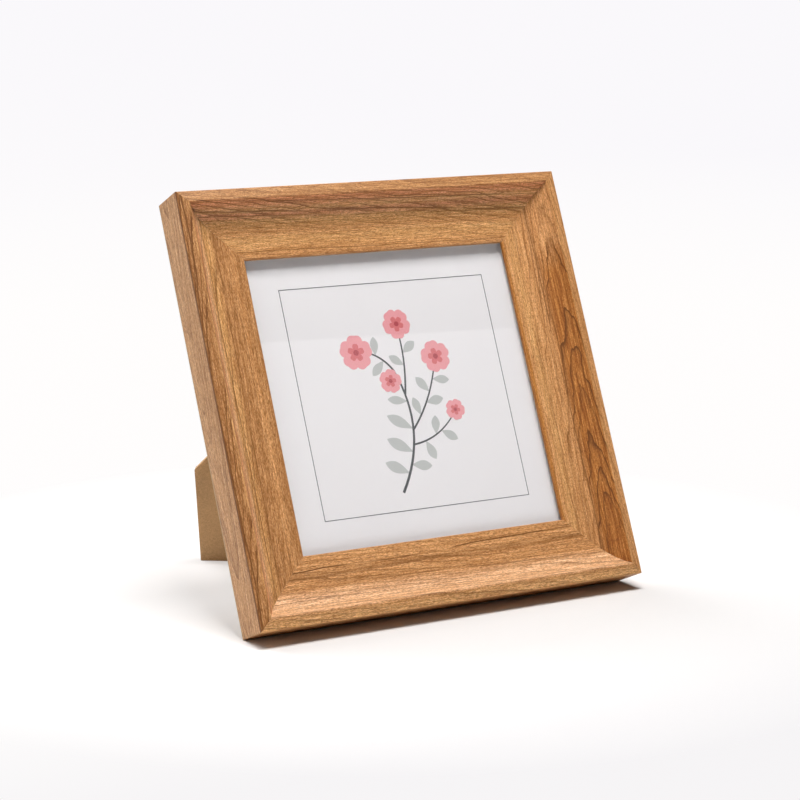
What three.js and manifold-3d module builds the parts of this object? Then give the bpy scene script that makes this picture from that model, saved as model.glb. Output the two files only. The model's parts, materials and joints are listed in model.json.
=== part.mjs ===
// Square photo frame of coved wood moulding, standing on a folding strut.
// Millimetres. The frame is drawn flat, x to the right, y up and z towards the viewer.
// It is then leaned back, so that in the finished part +Z is up and the front looks along -Y.
import * as THREE from "three";
import { mergeVertices } from "three/addons/utils/BufferGeometryUtils.js";
import Module from "manifold-3d";

const wasm = await Module();
wasm.setup();

const DEGREE = Math.PI / 180;
const QUARTER_TURN = Math.PI / 2;
const HALF_TURN = Math.PI;

// Picture package
const PRINT_SIZE = 125;
const PRINT_THICKNESS = 0.3;
const PRINT_COVERED = 2.5;
const GLASS_MARGIN = 0.5;
const GLASS_THICKNESS = 1.2;
const PACKING_THICKNESS = 2.9;
const BOARD_THICKNESS = 3;
const REBATE_CLEARANCE = 0.5;
const SEAT_GAP = 0.25;

// Moulding, measured from the outer front corner of the rail
const RAIL_WIDTH = 27.5;
const LIP_WIDTH = 4.7;
const LIP_RISE = 1.1;
const COVE_RADIUS = 13.3;
const BAND_SLOPE = 3.5 * DEGREE;
const SIGHT_DROP = 7.6;
const SIGHT_WALL = 2;
const LIP_ARRIS = 0.6;
const RIDGE_ARRIS = 0.25;
const SIGHT_ARRIS = 0.7;
const BACK_ARRIS = 0.4;
const MITRE_GAP = 0.2;
const LEAN = 24 * DEGREE;

// V-shaped nails that close the mitres from the back
const NAIL_WING = 4.5;
const NAIL_SHEET = 0.6;
const NAIL_HEIGHT = 7;
const NAIL_INSET = 8;
const NAIL_SINK = 0.2;

// Turn buttons and their screws
const BUTTON_OFFSET = 22;
const BUTTON_EYE_RADIUS = 4.2;
const BUTTON_TIP_RADIUS = 3;
const BUTTON_REACH = 11;
const BUTTON_SHEET = 0.8;
const BUTTON_BEND_AT = 8;
const BUTTON_LIFT = 1;
const SCREW_FROM_REBATE = 5;
const SCREW_RADIUS = 1.5;
const SCREW_LENGTH = 8.5;
const SCREW_POINT = 2;
const SCREW_HEAD_RADIUS = 3;
const SCREW_HEAD_HEIGHT = 1.7;
const SCREW_RECESS_LENGTH = 3.2;
const SCREW_RECESS_WIDTH = 0.7;
const SCREW_RECESS_DEPTH = 1;
const HOLE_CLEARANCE = 0.25;

// Strut leg
const LEG_TURN = 49 * DEGREE;
const LEG_SHIFT = 3.1;
const LEG_WIDTH = 60.5;
const LEG_TOP_WIDTH = 36;
const LEG_THICKNESS = 3;
const LEG_TIP_INSET = 13.7;
const LEG_CORNER_RADIUS = 0.6;

// Hinge between the back board and the leg
const HINGE_FROM_CENTRE = 32;
const HINGE_WIDTH = 28;
const HINGE_SHEET = 0.8;
const HINGE_MIDDLE_KNUCKLE = 12;
const KNUCKLE_GAP = 0.35;
const CURL_OPENING = 75 * DEGREE;
const PIN_RADIUS = 1;
const PIN_CLEARANCE = 0.15;
const PIN_HEAD_RADIUS = 1.6;
const PIN_HEAD_HEIGHT = 0.8;
const BASE_LENGTH = 22;
const LEAF_LENGTH = 19;
const PLATE_CORNER_RADIUS = 2.5;
const STOP_LUG_LENGTH = 5;
const STOP_LUG_WIDTH = 9;

// Rivets
const RIVET_RADIUS = 1.25;
const RIVET_HEAD_RADIUS = 2.4;
const RIVET_HEAD_HEIGHT = 1;
const RIVET_TAIL_RADIUS = 1.9;
const RIVET_TAIL_DEPTH = 0.6;
const RIVET_SPACING = 14;
const RIVET_FROM_END = 6;

// Hanger
const HANGER_FROM_REBATE = 10;
const HANGER_SHEET = 0.6;
const HANGER_WIDTH = 8;
const HANGER_LENGTH = 10;
const HANGER_RIVET_AT = 6;
const RING_WIRE_RADIUS = 0.8;
const RING_WIRE_CLEARANCE = 0.2;
const RING_WIDTH = 20;
const RING_HEIGHT = 16;
const RING_BEND_RADIUS = 2.2;
const RING_END_GAP = 0.6;

const sightSize = PRINT_SIZE - 2 * PRINT_COVERED;
const outerSize = sightSize + 2 * RAIL_WIDTH;
const packageSize = PRINT_SIZE + 2 * GLASS_MARGIN;
const rebateSize = packageSize + 2 * REBATE_CLEARANCE;
const rebateWall = (outerSize - rebateSize) / 2;
const seatZ = -(SIGHT_DROP + SIGHT_WALL);
const packageDepth = GLASS_THICKNESS + PRINT_THICKNESS + PACKING_THICKNESS + BOARD_THICKNESS + 4 * SEAT_GAP;
const railDepth = packageDepth - seatZ;
const knuckleInner = PIN_RADIUS + PIN_CLEARANCE;
const knuckleOuter = knuckleInner + HINGE_SHEET;
const screwFromCentre = rebateSize / 2 + SCREW_FROM_REBATE;
const loopInner = RING_WIRE_RADIUS + RING_WIRE_CLEARANCE;
const loopOuter = loopInner + HANGER_SHEET;

const finishes = {
  moulding: { color: 0xb9824c, roughness: 0.5, metalness: 0 },
  steel: { color: 0xb4b4b2, roughness: 0.35, metalness: 1 },
  zinc: { color: 0xc9c6bd, roughness: 0.4, metalness: 1 },
  glass: { color: 0xeef4f2, roughness: 0.03, metalness: 0, transparent: true, opacity: 0.25 },
  paper: { color: 0xf3f2f3, roughness: 0.6, metalness: 0 },
  card: { color: 0xb6ada0, roughness: 0.9, metalness: 0 },
  fibreboard: { color: 0xa98458, roughness: 0.8, metalness: 0 },
};

function piece(name, shape, finish) {
  const geometry = shape.isBufferGeometry ? shape : geometryOf(shape);
  const mesh = new THREE.Mesh(geometry, new THREE.MeshStandardMaterial(finishes[finish]));
  mesh.name = name;
  return mesh;
}

// A closed mesh as a solid that can be joined and cut.
function solidOf(geometry) {
  const bare = geometry.clone();
  bare.deleteAttribute("normal");
  bare.deleteAttribute("uv");
  const merged = mergeVertices(bare, 1e-4);
  return new wasm.Manifold(
    new wasm.Mesh({
      numProp: 3,
      vertProperties: new Float32Array(merged.attributes.position.array),
      triVerts: new Uint32Array(merged.index.array),
    }),
  );
}

function geometryOf(solid) {
  const { vertProperties, triVerts } = solid.getMesh();
  const geometry = new THREE.BufferGeometry();
  geometry.setAttribute("position", new THREE.BufferAttribute(new Float32Array(vertProperties), 3));
  geometry.setIndex(new THREE.BufferAttribute(new Uint32Array(triVerts), 1));
  const faceted = geometry.toNonIndexed();
  faceted.computeVertexNormals();
  return faceted;
}

// Closed outline through [x, y, radius] corners, each rounded by its own radius.
function rounded(corners) {
  const points = [];
  corners.forEach(([x, y, radius = 0], i) => {
    const corner = new THREE.Vector2(x, y);
    if (radius === 0) {
      points.push(corner);
      return;
    }
    const [beforeX, beforeY] = corners.at(i - 1);
    const [afterX, afterY] = corners[(i + 1) % corners.length];
    const back = new THREE.Vector2(beforeX - x, beforeY - y).normalize();
    const on = new THREE.Vector2(afterX - x, afterY - y).normalize();
    const half = Math.acos(THREE.MathUtils.clamp(back.dot(on), -1, 1)) / 2;
    const centre = back.clone().add(on).setLength(radius / Math.sin(half)).add(corner);
    const from = back.setLength(radius / Math.tan(half)).add(corner).sub(centre).angle();
    const to = on.setLength(radius / Math.tan(half)).add(corner).sub(centre).angle();
    const sweep = THREE.MathUtils.euclideanModulo(to - from + Math.PI, 2 * Math.PI) - Math.PI;
    const steps = Math.max(2, Math.ceil(Math.abs(sweep) / (18 * DEGREE)));
    for (let step = 0; step <= steps; step += 1) {
      const angle = from + (sweep * step) / steps;
      points.push(new THREE.Vector2(Math.cos(angle), Math.sin(angle)).multiplyScalar(radius).add(centre));
    }
  });
  return points;
}

// Points on an arc, ends included.
function arc(centreX, centreY, radius, from, to, steps) {
  return Array.from({ length: steps + 1 }, (_, step) => {
    const angle = from + ((to - from) * step) / steps;
    return new THREE.Vector2(centreX + radius * Math.cos(angle), centreY + radius * Math.sin(angle));
  });
}

// An outline in the xy plane, raised from one height to another.
function raise(points, from, to) {
  const geometry = new THREE.ExtrudeGeometry(new THREE.Shape(points), {
    depth: to - from,
    bevelEnabled: false,
  });
  return geometry.translate(0, 0, from);
}

// A section in the xz plane, run along y and centred on the given place.
function runAlongY(points, length, centreY = 0) {
  const geometry = raise(points, -length / 2, length / 2);
  return geometry.rotateX(QUARTER_TURN).translate(0, centreY, 0);
}

function box(width, length, from, to) {
  return new THREE.BoxGeometry(width, length, to - from).translate(0, 0, (from + to) / 2);
}

// A profile of [radius, height] points, lowest first, turned about z.
function turned(profile, sides = 20) {
  return new THREE.LatheGeometry(
    profile.map(([radius, height]) => new THREE.Vector2(radius, height)),
    sides,
  ).rotateX(QUARTER_TURN);
}

// The cove starts at the ridge of the lip and runs out tangent to the band beside the opening.
function coveArc() {
  const outward = new THREE.Vector2(-Math.cos(BAND_SLOPE), Math.sin(BAND_SLOPE));
  const normal = new THREE.Vector2(Math.sin(BAND_SLOPE), Math.cos(BAND_SLOPE));
  const ridge = new THREE.Vector2(LIP_WIDTH, LIP_RISE);
  const sight = new THREE.Vector2(RAIL_WIDTH, -SIGHT_DROP);
  const offset = sight.clone().addScaledVector(normal, COVE_RADIUS);
  const reach = offset.clone().sub(ridge);
  const along = outward.dot(reach);
  const run = -along - Math.sqrt(along ** 2 - reach.lengthSq() + COVE_RADIUS ** 2);
  const centre = offset.addScaledVector(outward, run);
  const start = ridge.clone().sub(centre).angle();
  const end = 2 * Math.PI - QUARTER_TURN - BAND_SLOPE;
  return arc(centre.x, centre.y, COVE_RADIUS, start, end, 16).slice(1);
}

// Section of the moulding: x runs from the outer edge inwards, y is height above the outer corner.
function mouldingSection() {
  return rounded([
    [0, -railDepth, BACK_ARRIS],
    [rebateWall, -railDepth, BACK_ARRIS],
    [rebateWall, seatZ],
    [RAIL_WIDTH, seatZ, BACK_ARRIS],
    [RAIL_WIDTH, -SIGHT_DROP, SIGHT_ARRIS],
    ...coveArc().map(({ x, y }) => [x, y]).reverse(),
    [LIP_WIDTH, LIP_RISE, RIDGE_ARRIS],
    [0, 0, LIP_ARRIS],
  ]);
}

// The bottom rail. Each point of the section runs on to the mitre at its own distance from the edge.
function mitredRail() {
  const geometry = new THREE.ExtrudeGeometry(new THREE.Shape(mouldingSection()), {
    depth: 2,
    bevelEnabled: false,
  });
  const position = geometry.attributes.position;
  for (let i = 0; i < position.count; i += 1) {
    const inwards = position.getX(i);
    const halfLength = outerSize / 2 - inwards - MITRE_GAP / Math.SQRT2;
    position.setXYZ(i, (position.getZ(i) - 1) * halfLength, inwards - outerSize / 2, position.getY(i));
  }
  return geometry;
}

// A nail's V, its spine on the mitre and its wings square to the outer edges.
function nailOutline(grown) {
  const half = NAIL_SHEET / 2 + grown;
  const wing = NAIL_WING + grown;
  return [
    [-half, half],
    [-half, -wing],
    [half, -wing],
    [half, -half],
    [wing, -half],
    [wing, half],
  ].map(([x, y]) => new THREE.Vector2(x, y));
}

const nailInsets = [NAIL_INSET, rebateWall - NAIL_INSET];

// Both nails of the corner at +x, -y, or their pockets when grown.
function cornerNails(grown) {
  const top = NAIL_HEIGHT - railDepth + grown;
  const bottom = grown > 0 ? -railDepth - 1 : NAIL_SINK - railDepth;
  return nailInsets.map((inset) => {
    const place = outerSize / 2 - inset;
    return raise(nailOutline(grown), bottom, top).translate(place, -place, 0);
  });
}

function screwHole(radius, along) {
  const hole = turned([
    [0, -1],
    [radius, -1],
    [radius, SCREW_LENGTH + HOLE_CLEARANCE],
    [0, SCREW_LENGTH + HOLE_CLEARANCE],
  ]);
  return hole.translate(along, -screwFromCentre, -railDepth);
}

function railSolid(buttonAlong) {
  let rail = solidOf(mitredRail());
  for (const nail of cornerNails(HOLE_CLEARANCE)) {
    rail = rail.subtract(solidOf(nail));
    rail = rail.subtract(solidOf(nail.clone().rotateZ(-QUARTER_TURN)));
  }
  return rail.subtract(solidOf(screwHole(SCREW_RADIUS + HOLE_CLEARANCE, buttonAlong)));
}

// Two round ends of different radius, joined by their common tangents.
function linkOutline(eyeRadius, tipRadius, reach) {
  const slope = Math.asin((eyeRadius - tipRadius) / reach);
  const tip = arc(0, reach, tipRadius, slope, Math.PI - slope, 10);
  const eye = arc(0, 0, eyeRadius, Math.PI - slope, 2 * Math.PI + slope, 16);
  return [...tip, ...eye];
}

// Turn button: eye round the screw, arm towards +y, its tip lifted for a finger.
function turnButton() {
  const tipEnd = BUTTON_REACH + BUTTON_TIP_RADIUS + 1;
  const start = -BUTTON_EYE_RADIUS - 1;
  const lift = (BUTTON_LIFT * (tipEnd - BUTTON_BEND_AT)) / (tipEnd - BUTTON_BEND_AT - 1);
  const bentSheet = [
    [start, 0],
    [BUTTON_BEND_AT, 0],
    [tipEnd, lift],
    [tipEnd, lift + BUTTON_SHEET],
    [BUTTON_BEND_AT, BUTTON_SHEET],
    [start, BUTTON_SHEET],
  ].map(([x, y]) => new THREE.Vector2(x, y));
  const sheet = runAlongY(bentSheet, 4 * BUTTON_EYE_RADIUS).rotateZ(QUARTER_TURN);
  const outline = linkOutline(BUTTON_EYE_RADIUS, BUTTON_TIP_RADIUS, BUTTON_REACH);
  const blank = raise(outline, -1, lift + BUTTON_SHEET + 1);
  const hole = turned([
    [0, -1],
    [SCREW_RADIUS + HOLE_CLEARANCE, -1],
    [SCREW_RADIUS + HOLE_CLEARANCE, BUTTON_SHEET + 1],
    [0, BUTTON_SHEET + 1],
  ]);
  return solidOf(sheet).intersect(solidOf(blank)).subtract(solidOf(hole)).translate(0, 0, SEAT_GAP);
}

function domePoints(radius, height, base) {
  return arc(0, 0, 1, 0, QUARTER_TURN, 5).map(({ x, y }) => [radius * x, base + height * y]);
}

// Pan head screw with a cross recess, its head just above the button.
function buttonScrew() {
  const headBase = BUTTON_SHEET + 2 * SEAT_GAP;
  const rim = 0.4;
  const dome = domePoints(SCREW_HEAD_RADIUS, SCREW_HEAD_HEIGHT - rim, headBase + rim);
  const screw = turned([
    [0, -SCREW_LENGTH],
    [SCREW_RADIUS, SCREW_POINT - SCREW_LENGTH],
    [SCREW_RADIUS, headBase],
    [SCREW_HEAD_RADIUS, headBase],
    ...dome.slice(0, -1),
    [0, headBase + SCREW_HEAD_HEIGHT],
  ]);
  const top = headBase + SCREW_HEAD_HEIGHT;
  const slot = box(SCREW_RECESS_LENGTH, SCREW_RECESS_WIDTH, top - SCREW_RECESS_DEPTH, top + 1);
  const cross = solidOf(slot).add(solidOf(slot.clone().rotateZ(QUARTER_TURN)));
  return solidOf(screw).subtract(cross);
}

// Height of a packed sheet, from its front face to its back face.
function packedSheet(size, front, back) {
  return box(size, size, back, front);
}

// Hinge frame: origin on the pin's middle, x along the folded leg, y along the pin, z out of the back.
const pinHeight = knuckleOuter + SEAT_GAP;
const legInnerFace = SEAT_GAP - knuckleInner;
const legLength = HINGE_FROM_CENTRE + outerSize / Math.SQRT2 - LEG_TIP_INSET;

// Directions in the flat frame: along the folded leg, along the pin, and out of the back.
const alongLeg = new THREE.Vector3(-Math.sin(LEG_TURN), -Math.cos(LEG_TURN), 0);
const alongPin = new THREE.Vector3(-Math.cos(LEG_TURN), Math.sin(LEG_TURN), 0);
const outOfBack = new THREE.Vector3(0, 0, -1);
const upwards = new THREE.Vector3(0, Math.cos(LEAN), Math.sin(LEAN));
const hingeCentre = new THREE.Vector3(0, 0, -railDepth)
  .addScaledVector(alongLeg, -HINGE_FROM_CENTRE)
  .addScaledVector(alongPin, LEG_SHIFT);

// The angle at which the leg's tip comes level with the bottom edge that the frame stands on.
function openAngle() {
  const backEdge = (outerSize / 2 - BACK_ARRIS) * upwards.y + (railDepth - BACK_ARRIS) * upwards.z;
  const floor = -backEdge - BACK_ARRIS;
  const pin = hingeCentre.clone().addScaledVector(outOfBack, pinHeight);
  const legUp = alongLeg.dot(upwards);
  const backUp = outOfBack.dot(upwards);
  const withCosine = legLength * legUp + legInnerFace * backUp;
  const withSine = legLength * backUp - legInnerFace * legUp;
  const drop = floor - pin.dot(upwards);
  const swing = Math.atan2(withSine, withCosine) - Math.acos(drop / Math.hypot(withCosine, withSine));
  return THREE.MathUtils.euclideanModulo(swing, 2 * Math.PI);
}

const legOpen = openAngle();

// Half angle of the leg's point, so that the foot lies along the floor when the leg is open.
function footAngle() {
  const openLeg = alongLeg.clone().multiplyScalar(Math.cos(legOpen));
  openLeg.addScaledVector(outOfBack, Math.sin(legOpen));
  return Math.atan2(-openLeg.dot(upwards), alongPin.dot(upwards));
}

// A sheet that lies below the pin and curls up round it, as a section in xz, its plate towards +x.
function curlSection(inner, outer, plateEnd) {
  const turns = 2 * Math.PI - CURL_OPENING;
  return [
    new THREE.Vector2(plateEnd, -inner),
    ...arc(0, 0, inner, -QUARTER_TURN, -QUARTER_TURN - turns, 18),
    ...arc(0, 0, outer, -QUARTER_TURN - turns, -QUARTER_TURN, 18),
    new THREE.Vector2(plateEnd, -outer),
  ].reverse();
}

// Rivet with its plate's top face at z = 0, and the hole that it goes through.
function rivet(grip) {
  const tail = -grip;
  return turned([
    [0, tail],
    [RIVET_TAIL_RADIUS, tail],
    [RIVET_RADIUS, tail + RIVET_TAIL_DEPTH],
    [RIVET_RADIUS, SEAT_GAP],
    ...domePoints(RIVET_HEAD_RADIUS, RIVET_HEAD_HEIGHT, SEAT_GAP).slice(0, -1),
    [0, SEAT_GAP + RIVET_HEAD_HEIGHT],
  ]);
}

function rivetHole(grip) {
  const tail = -grip;
  return solidOf(turned([
    [0, tail - 1],
    [RIVET_TAIL_RADIUS + HOLE_CLEARANCE, tail - 1],
    [RIVET_TAIL_RADIUS + HOLE_CLEARANCE, tail],
    [RIVET_RADIUS + HOLE_CLEARANCE, tail + RIVET_TAIL_DEPTH],
    [RIVET_RADIUS + HOLE_CLEARANCE, 1],
    [0, 1],
  ]));
}

const boardGrip = HINGE_SHEET + SEAT_GAP + BOARD_THICKNESS;
const hangerGrip = HANGER_SHEET + SEAT_GAP + BOARD_THICKNESS;
const legGrip = LEG_THICKNESS + SEAT_GAP + HINGE_SHEET;
const rivetSides = [-RIVET_SPACING / 2, RIVET_SPACING / 2];
const hingePlateStart = knuckleOuter + KNUCKLE_GAP;
const outerKnuckle = (HINGE_WIDTH - HINGE_MIDDLE_KNUCKLE) / 2 - KNUCKLE_GAP;
const outerKnucklePlace = (HINGE_WIDTH - outerKnuckle) / 2;
const baseRivetAt = BASE_LENGTH - RIVET_FROM_END;
const leafRivetAt = LEAF_LENGTH - RIVET_FROM_END;
const baseRivetZ = -knuckleInner;
const legRivetZ = legInnerFace + LEG_THICKNESS;

// Flat part of a hinge half, with its far corners rounded.
function hingePlate(length) {
  const half = HINGE_WIDTH / 2;
  const outline = rounded([
    [hingePlateStart, -half],
    [length, -half, PLATE_CORNER_RADIUS],
    [length, half, PLATE_CORNER_RADIUS],
    [hingePlateStart, half],
  ]);
  return solidOf(raise(outline, -knuckleOuter, -knuckleInner));
}

function knuckle(width, place) {
  const section = curlSection(knuckleInner, knuckleOuter, hingePlateStart + 1);
  return solidOf(runAlongY(section, width, place));
}

// Half on the board: two outer knuckles, the plate towards -x.
function hingeBase() {
  let base = hingePlate(BASE_LENGTH)
    .add(knuckle(outerKnuckle, outerKnucklePlace))
    .add(knuckle(outerKnuckle, -outerKnucklePlace));
  for (const side of rivetSides) {
    base = base.subtract(rivetHole(boardGrip).translate(baseRivetAt, side, baseRivetZ));
  }
  return base.rotate([0, 0, 180]);
}

// Half on the leg: the middle knuckle, and a lug that lands on the base when the leg is open.
function hingeLeaf() {
  let leaf = hingePlate(LEAF_LENGTH).add(knuckle(HINGE_MIDDLE_KNUCKLE, 0));
  for (const side of rivetSides) {
    leaf = leaf.subtract(rivetHole(legGrip).translate(leafRivetAt, side, legRivetZ));
  }
  const root = (knuckleInner + knuckleOuter) / 2;
  const tip = knuckleOuter + STOP_LUG_LENGTH;
  const under = SEAT_GAP - knuckleInner;
  const lug = box(tip - root, STOP_LUG_WIDTH, under, under + HINGE_SHEET);
  lug.translate(-(root + tip) / 2, 0, 0).rotateY(legOpen);
  return leaf.add(solidOf(lug));
}

function hingePin() {
  const half = HINGE_WIDTH / 2 + KNUCKLE_GAP;
  return turned([
    [0, -half - PIN_HEAD_HEIGHT],
    [PIN_HEAD_RADIUS, -half - PIN_HEAD_HEIGHT / 2],
    [PIN_HEAD_RADIUS, -half],
    [PIN_RADIUS, -half],
    [PIN_RADIUS, half],
    [PIN_HEAD_RADIUS, half],
    [PIN_HEAD_RADIUS, half + PIN_HEAD_HEIGHT / 2],
    [0, half + PIN_HEAD_HEIGHT],
  ]).rotateX(QUARTER_TURN);
}

// The leg: clipped corners beside the hinge, parallel sides and a point that stands on one edge.
function strutLeg() {
  const start = knuckleOuter + 2 * SEAT_GAP;
  const half = LEG_WIDTH / 2;
  const halfTop = LEG_TOP_WIDTH / 2;
  const shoulder = legLength - half / Math.tan(footAngle());
  const outline = rounded([
    [start, -halfTop, LEG_CORNER_RADIUS],
    [start + half - halfTop, -half, LEG_CORNER_RADIUS],
    [shoulder, -half, LEG_CORNER_RADIUS],
    [legLength, 0],
    [shoulder, half, LEG_CORNER_RADIUS],
    [start + half - halfTop, half, LEG_CORNER_RADIUS],
    [start, halfTop, LEG_CORNER_RADIUS],
  ]);
  let leg = solidOf(raise(outline, legInnerFace, legInnerFace + LEG_THICKNESS));
  for (const side of rivetSides) {
    leg = leg.subtract(rivetHole(legGrip).translate(leafRivetAt, side, legRivetZ));
  }
  return leg;
}

// Hanger frame: origin on the loop's axis, x down the board, y along the axis, z out of the back.
const loopHeight = loopOuter + SEAT_GAP;
const hangerRivetZ = -loopInner;

function hangerStrap() {
  const section = curlSection(loopInner, loopOuter, HANGER_LENGTH - HANGER_WIDTH / 2);
  const outline = [
    ...arc(HANGER_LENGTH - HANGER_WIDTH / 2, 0, HANGER_WIDTH / 2, -QUARTER_TURN, QUARTER_TURN, 12),
    new THREE.Vector2(1, HANGER_WIDTH / 2),
    new THREE.Vector2(1, -HANGER_WIDTH / 2),
  ];
  return solidOf(runAlongY(section, HANGER_WIDTH))
    .add(solidOf(raise(outline, -loopOuter, -loopInner)))
    .subtract(rivetHole(hangerGrip).translate(HANGER_RIVET_AT, 0, hangerRivetZ));
}

// Bent wire triangle. Its ends meet inside the loop.
function hangerRing() {
  const halfWidth = RING_WIDTH / 2 - RING_WIRE_RADIUS;
  const height = RING_HEIGHT - RING_WIRE_RADIUS;
  const corners = [
    new THREE.Vector3(0, halfWidth, 0),
    new THREE.Vector3(height, 0, 0),
    new THREE.Vector3(0, -halfWidth, 0),
  ];
  const path = new THREE.CurvePath();
  let from = new THREE.Vector3(0, RING_END_GAP / 2, 0);
  const last = new THREE.Vector3(0, -RING_END_GAP / 2, 0);
  corners.forEach((corner, i) => {
    const next = corners[i + 1] ?? last;
    const toFrom = from.clone().sub(corner).normalize();
    const toNext = next.clone().sub(corner).normalize();
    const start = corner.clone().addScaledVector(toFrom, RING_BEND_RADIUS);
    const end = corner.clone().addScaledVector(toNext, RING_BEND_RADIUS);
    path.add(new THREE.LineCurve3(from, start));
    path.add(new THREE.QuadraticBezierCurve3(start, corner, end));
    from = end;
  });
  path.add(new THREE.LineCurve3(from, last));
  const wire = new THREE.Shape(arc(0, 0, RING_WIRE_RADIUS, 0, 2 * Math.PI, 8).slice(0, -1));
  return new THREE.ExtrudeGeometry(wire, { steps: 56, extrudePath: path, bevelEnabled: false });
}

// Rails, nails, buttons and screws, each side a quarter turn on from the last.
function addSides(frame) {
  const sides = ["bottom", "right", "top", "left"];
  const corners = ["bottom_right", "top_right", "top_left", "bottom_left"];
  sides.forEach((side, i) => {
    const quarter = new THREE.Group();
    quarter.rotation.z = i * QUARTER_TURN;
    const along = i % 2 === 0 ? BUTTON_OFFSET : -BUTTON_OFFSET;
    quarter.add(piece(`rail_${side}`, railSolid(along), "moulding"));
    cornerNails(0).forEach((nail, n) => {
      quarter.add(piece(`nail_${corners[i]}_${n === 0 ? "outer" : "inner"}`, nail, "steel"));
    });
    const pivot = new THREE.Group();
    pivot.position.set(along, -screwFromCentre, -railDepth);
    pivot.rotation.y = HALF_TURN;
    pivot.add(piece(`turn_button_${side}`, turnButton(), "zinc"));
    pivot.add(piece(`button_screw_${side}`, buttonScrew(), "steel"));
    quarter.add(pivot);
    frame.add(quarter);
  });
}

// Glass, print and packing card, held in the rebate by the back board.
function addPackage(frame, boardHoles) {
  const glassFront = seatZ - SEAT_GAP;
  const glassBack = glassFront - GLASS_THICKNESS;
  const printFront = glassBack - SEAT_GAP;
  const printBack = printFront - PRINT_THICKNESS;
  const cardFront = printBack - SEAT_GAP;
  const cardBack = cardFront - PACKING_THICKNESS;
  const boardFront = cardBack - SEAT_GAP;
  frame.add(piece("glass_pane", packedSheet(packageSize, glassFront, glassBack), "glass"));
  frame.add(piece("photo_insert", packedSheet(PRINT_SIZE, printFront, printBack), "paper"));
  frame.add(piece("packing_card", packedSheet(packageSize, cardFront, cardBack), "card"));
  let board = solidOf(packedSheet(packageSize, boardFront, -railDepth));
  for (const hole of boardHoles) {
    board = board.subtract(hole);
  }
  frame.add(piece("back_board", board, "fibreboard"));
}

// Board hardware is placed from behind: z out of the back, x to the left of the viewer in front.
function backGroup(frame) {
  const back = new THREE.Group();
  back.position.z = -railDepth;
  back.rotation.y = HALF_TURN;
  frame.add(back);
  return back;
}

function hingeGroup() {
  const hinge = new THREE.Group();
  hinge.position.set(-hingeCentre.x, hingeCentre.y, pinHeight);
  hinge.rotation.z = LEG_TURN - QUARTER_TURN;
  return hinge;
}

function hangerGroup() {
  const hanger = new THREE.Group();
  hanger.position.set(0, rebateSize / 2 - HANGER_FROM_REBATE, loopHeight);
  hanger.rotation.z = -QUARTER_TURN;
  return hanger;
}

function rivetPiece(name, grip, x, y, z) {
  const mesh = piece(name, rivet(grip), "steel");
  mesh.position.set(x, y, z);
  return mesh;
}

function addHinge(hinge) {
  hinge.add(piece("hinge_base", hingeBase(), "steel"));
  hinge.add(piece("hinge_pin", hingePin(), "steel"));
  const leg = new THREE.Group();
  leg.rotation.y = -legOpen;
  leg.add(piece("strut_leg", strutLeg(), "fibreboard"));
  leg.add(piece("hinge_leaf", hingeLeaf(), "steel"));
  rivetSides.forEach((side, i) => {
    const end = i === 0 ? "right" : "left";
    hinge.add(rivetPiece(`base_rivet_${end}`, boardGrip, -baseRivetAt, side, baseRivetZ));
    leg.add(rivetPiece(`leg_rivet_${end}`, legGrip, leafRivetAt, side, legRivetZ));
  });
  hinge.add(leg);
}

// The ring hangs plumb from its loop, away from the leaning board.
function addHanger(hanger) {
  hanger.add(piece("hanger_strap", hangerStrap(), "zinc"));
  hanger.add(rivetPiece("hanger_rivet", hangerGrip, HANGER_RIVET_AT, 0, hangerRivetZ));
  const ring = piece("hanger_ring", hangerRing(), "steel");
  ring.rotation.y = -LEAN;
  hanger.add(ring);
}

// A rivet hole, moved from its own group into the flat frame.
function holeInFrame(group, grip, x, y, z) {
  const place = new THREE.Matrix4().makeTranslation(x, y, z).premultiply(group.matrixWorld);
  return rivetHole(grip).transform(place.toArray());
}

function photoFrame() {
  const frame = new THREE.Group();
  const back = backGroup(frame);
  const hinge = hingeGroup();
  const hanger = hangerGroup();
  back.add(hinge, hanger);
  frame.updateMatrixWorld(true);
  const boardHoles = [
    ...rivetSides.map((side) => holeInFrame(hinge, boardGrip, -baseRivetAt, side, baseRivetZ)),
    holeInFrame(hanger, hangerGrip, HANGER_RIVET_AT, 0, hangerRivetZ),
  ];
  addSides(frame);
  addPackage(frame, boardHoles);
  addHinge(hinge);
  addHanger(hanger);
  frame.rotation.x = QUARTER_TURN - LEAN;
  return frame;
}

// The origin is on the surface that the frame stands on, below the middle of its bounding box.
function standOnOrigin(frame) {
  const part = new THREE.Group();
  part.add(frame);
  part.updateMatrixWorld(true);
  const bounds = new THREE.Box3().setFromObject(part, true);
  const middle = bounds.getCenter(new THREE.Vector3());
  frame.position.set(-middle.x, -middle.y, -bounds.min.z);
  return part;
}

export default standOnOrigin(photoFrame());
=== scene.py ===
"""Square photo frame of coved wood-grain moulding, standing on a folding strut.

Sizes are metres. The frame is modelled flat, x to the right, y up and z towards the viewer,
and each finished piece is then carried to its place in the leaning frame.
"""

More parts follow.
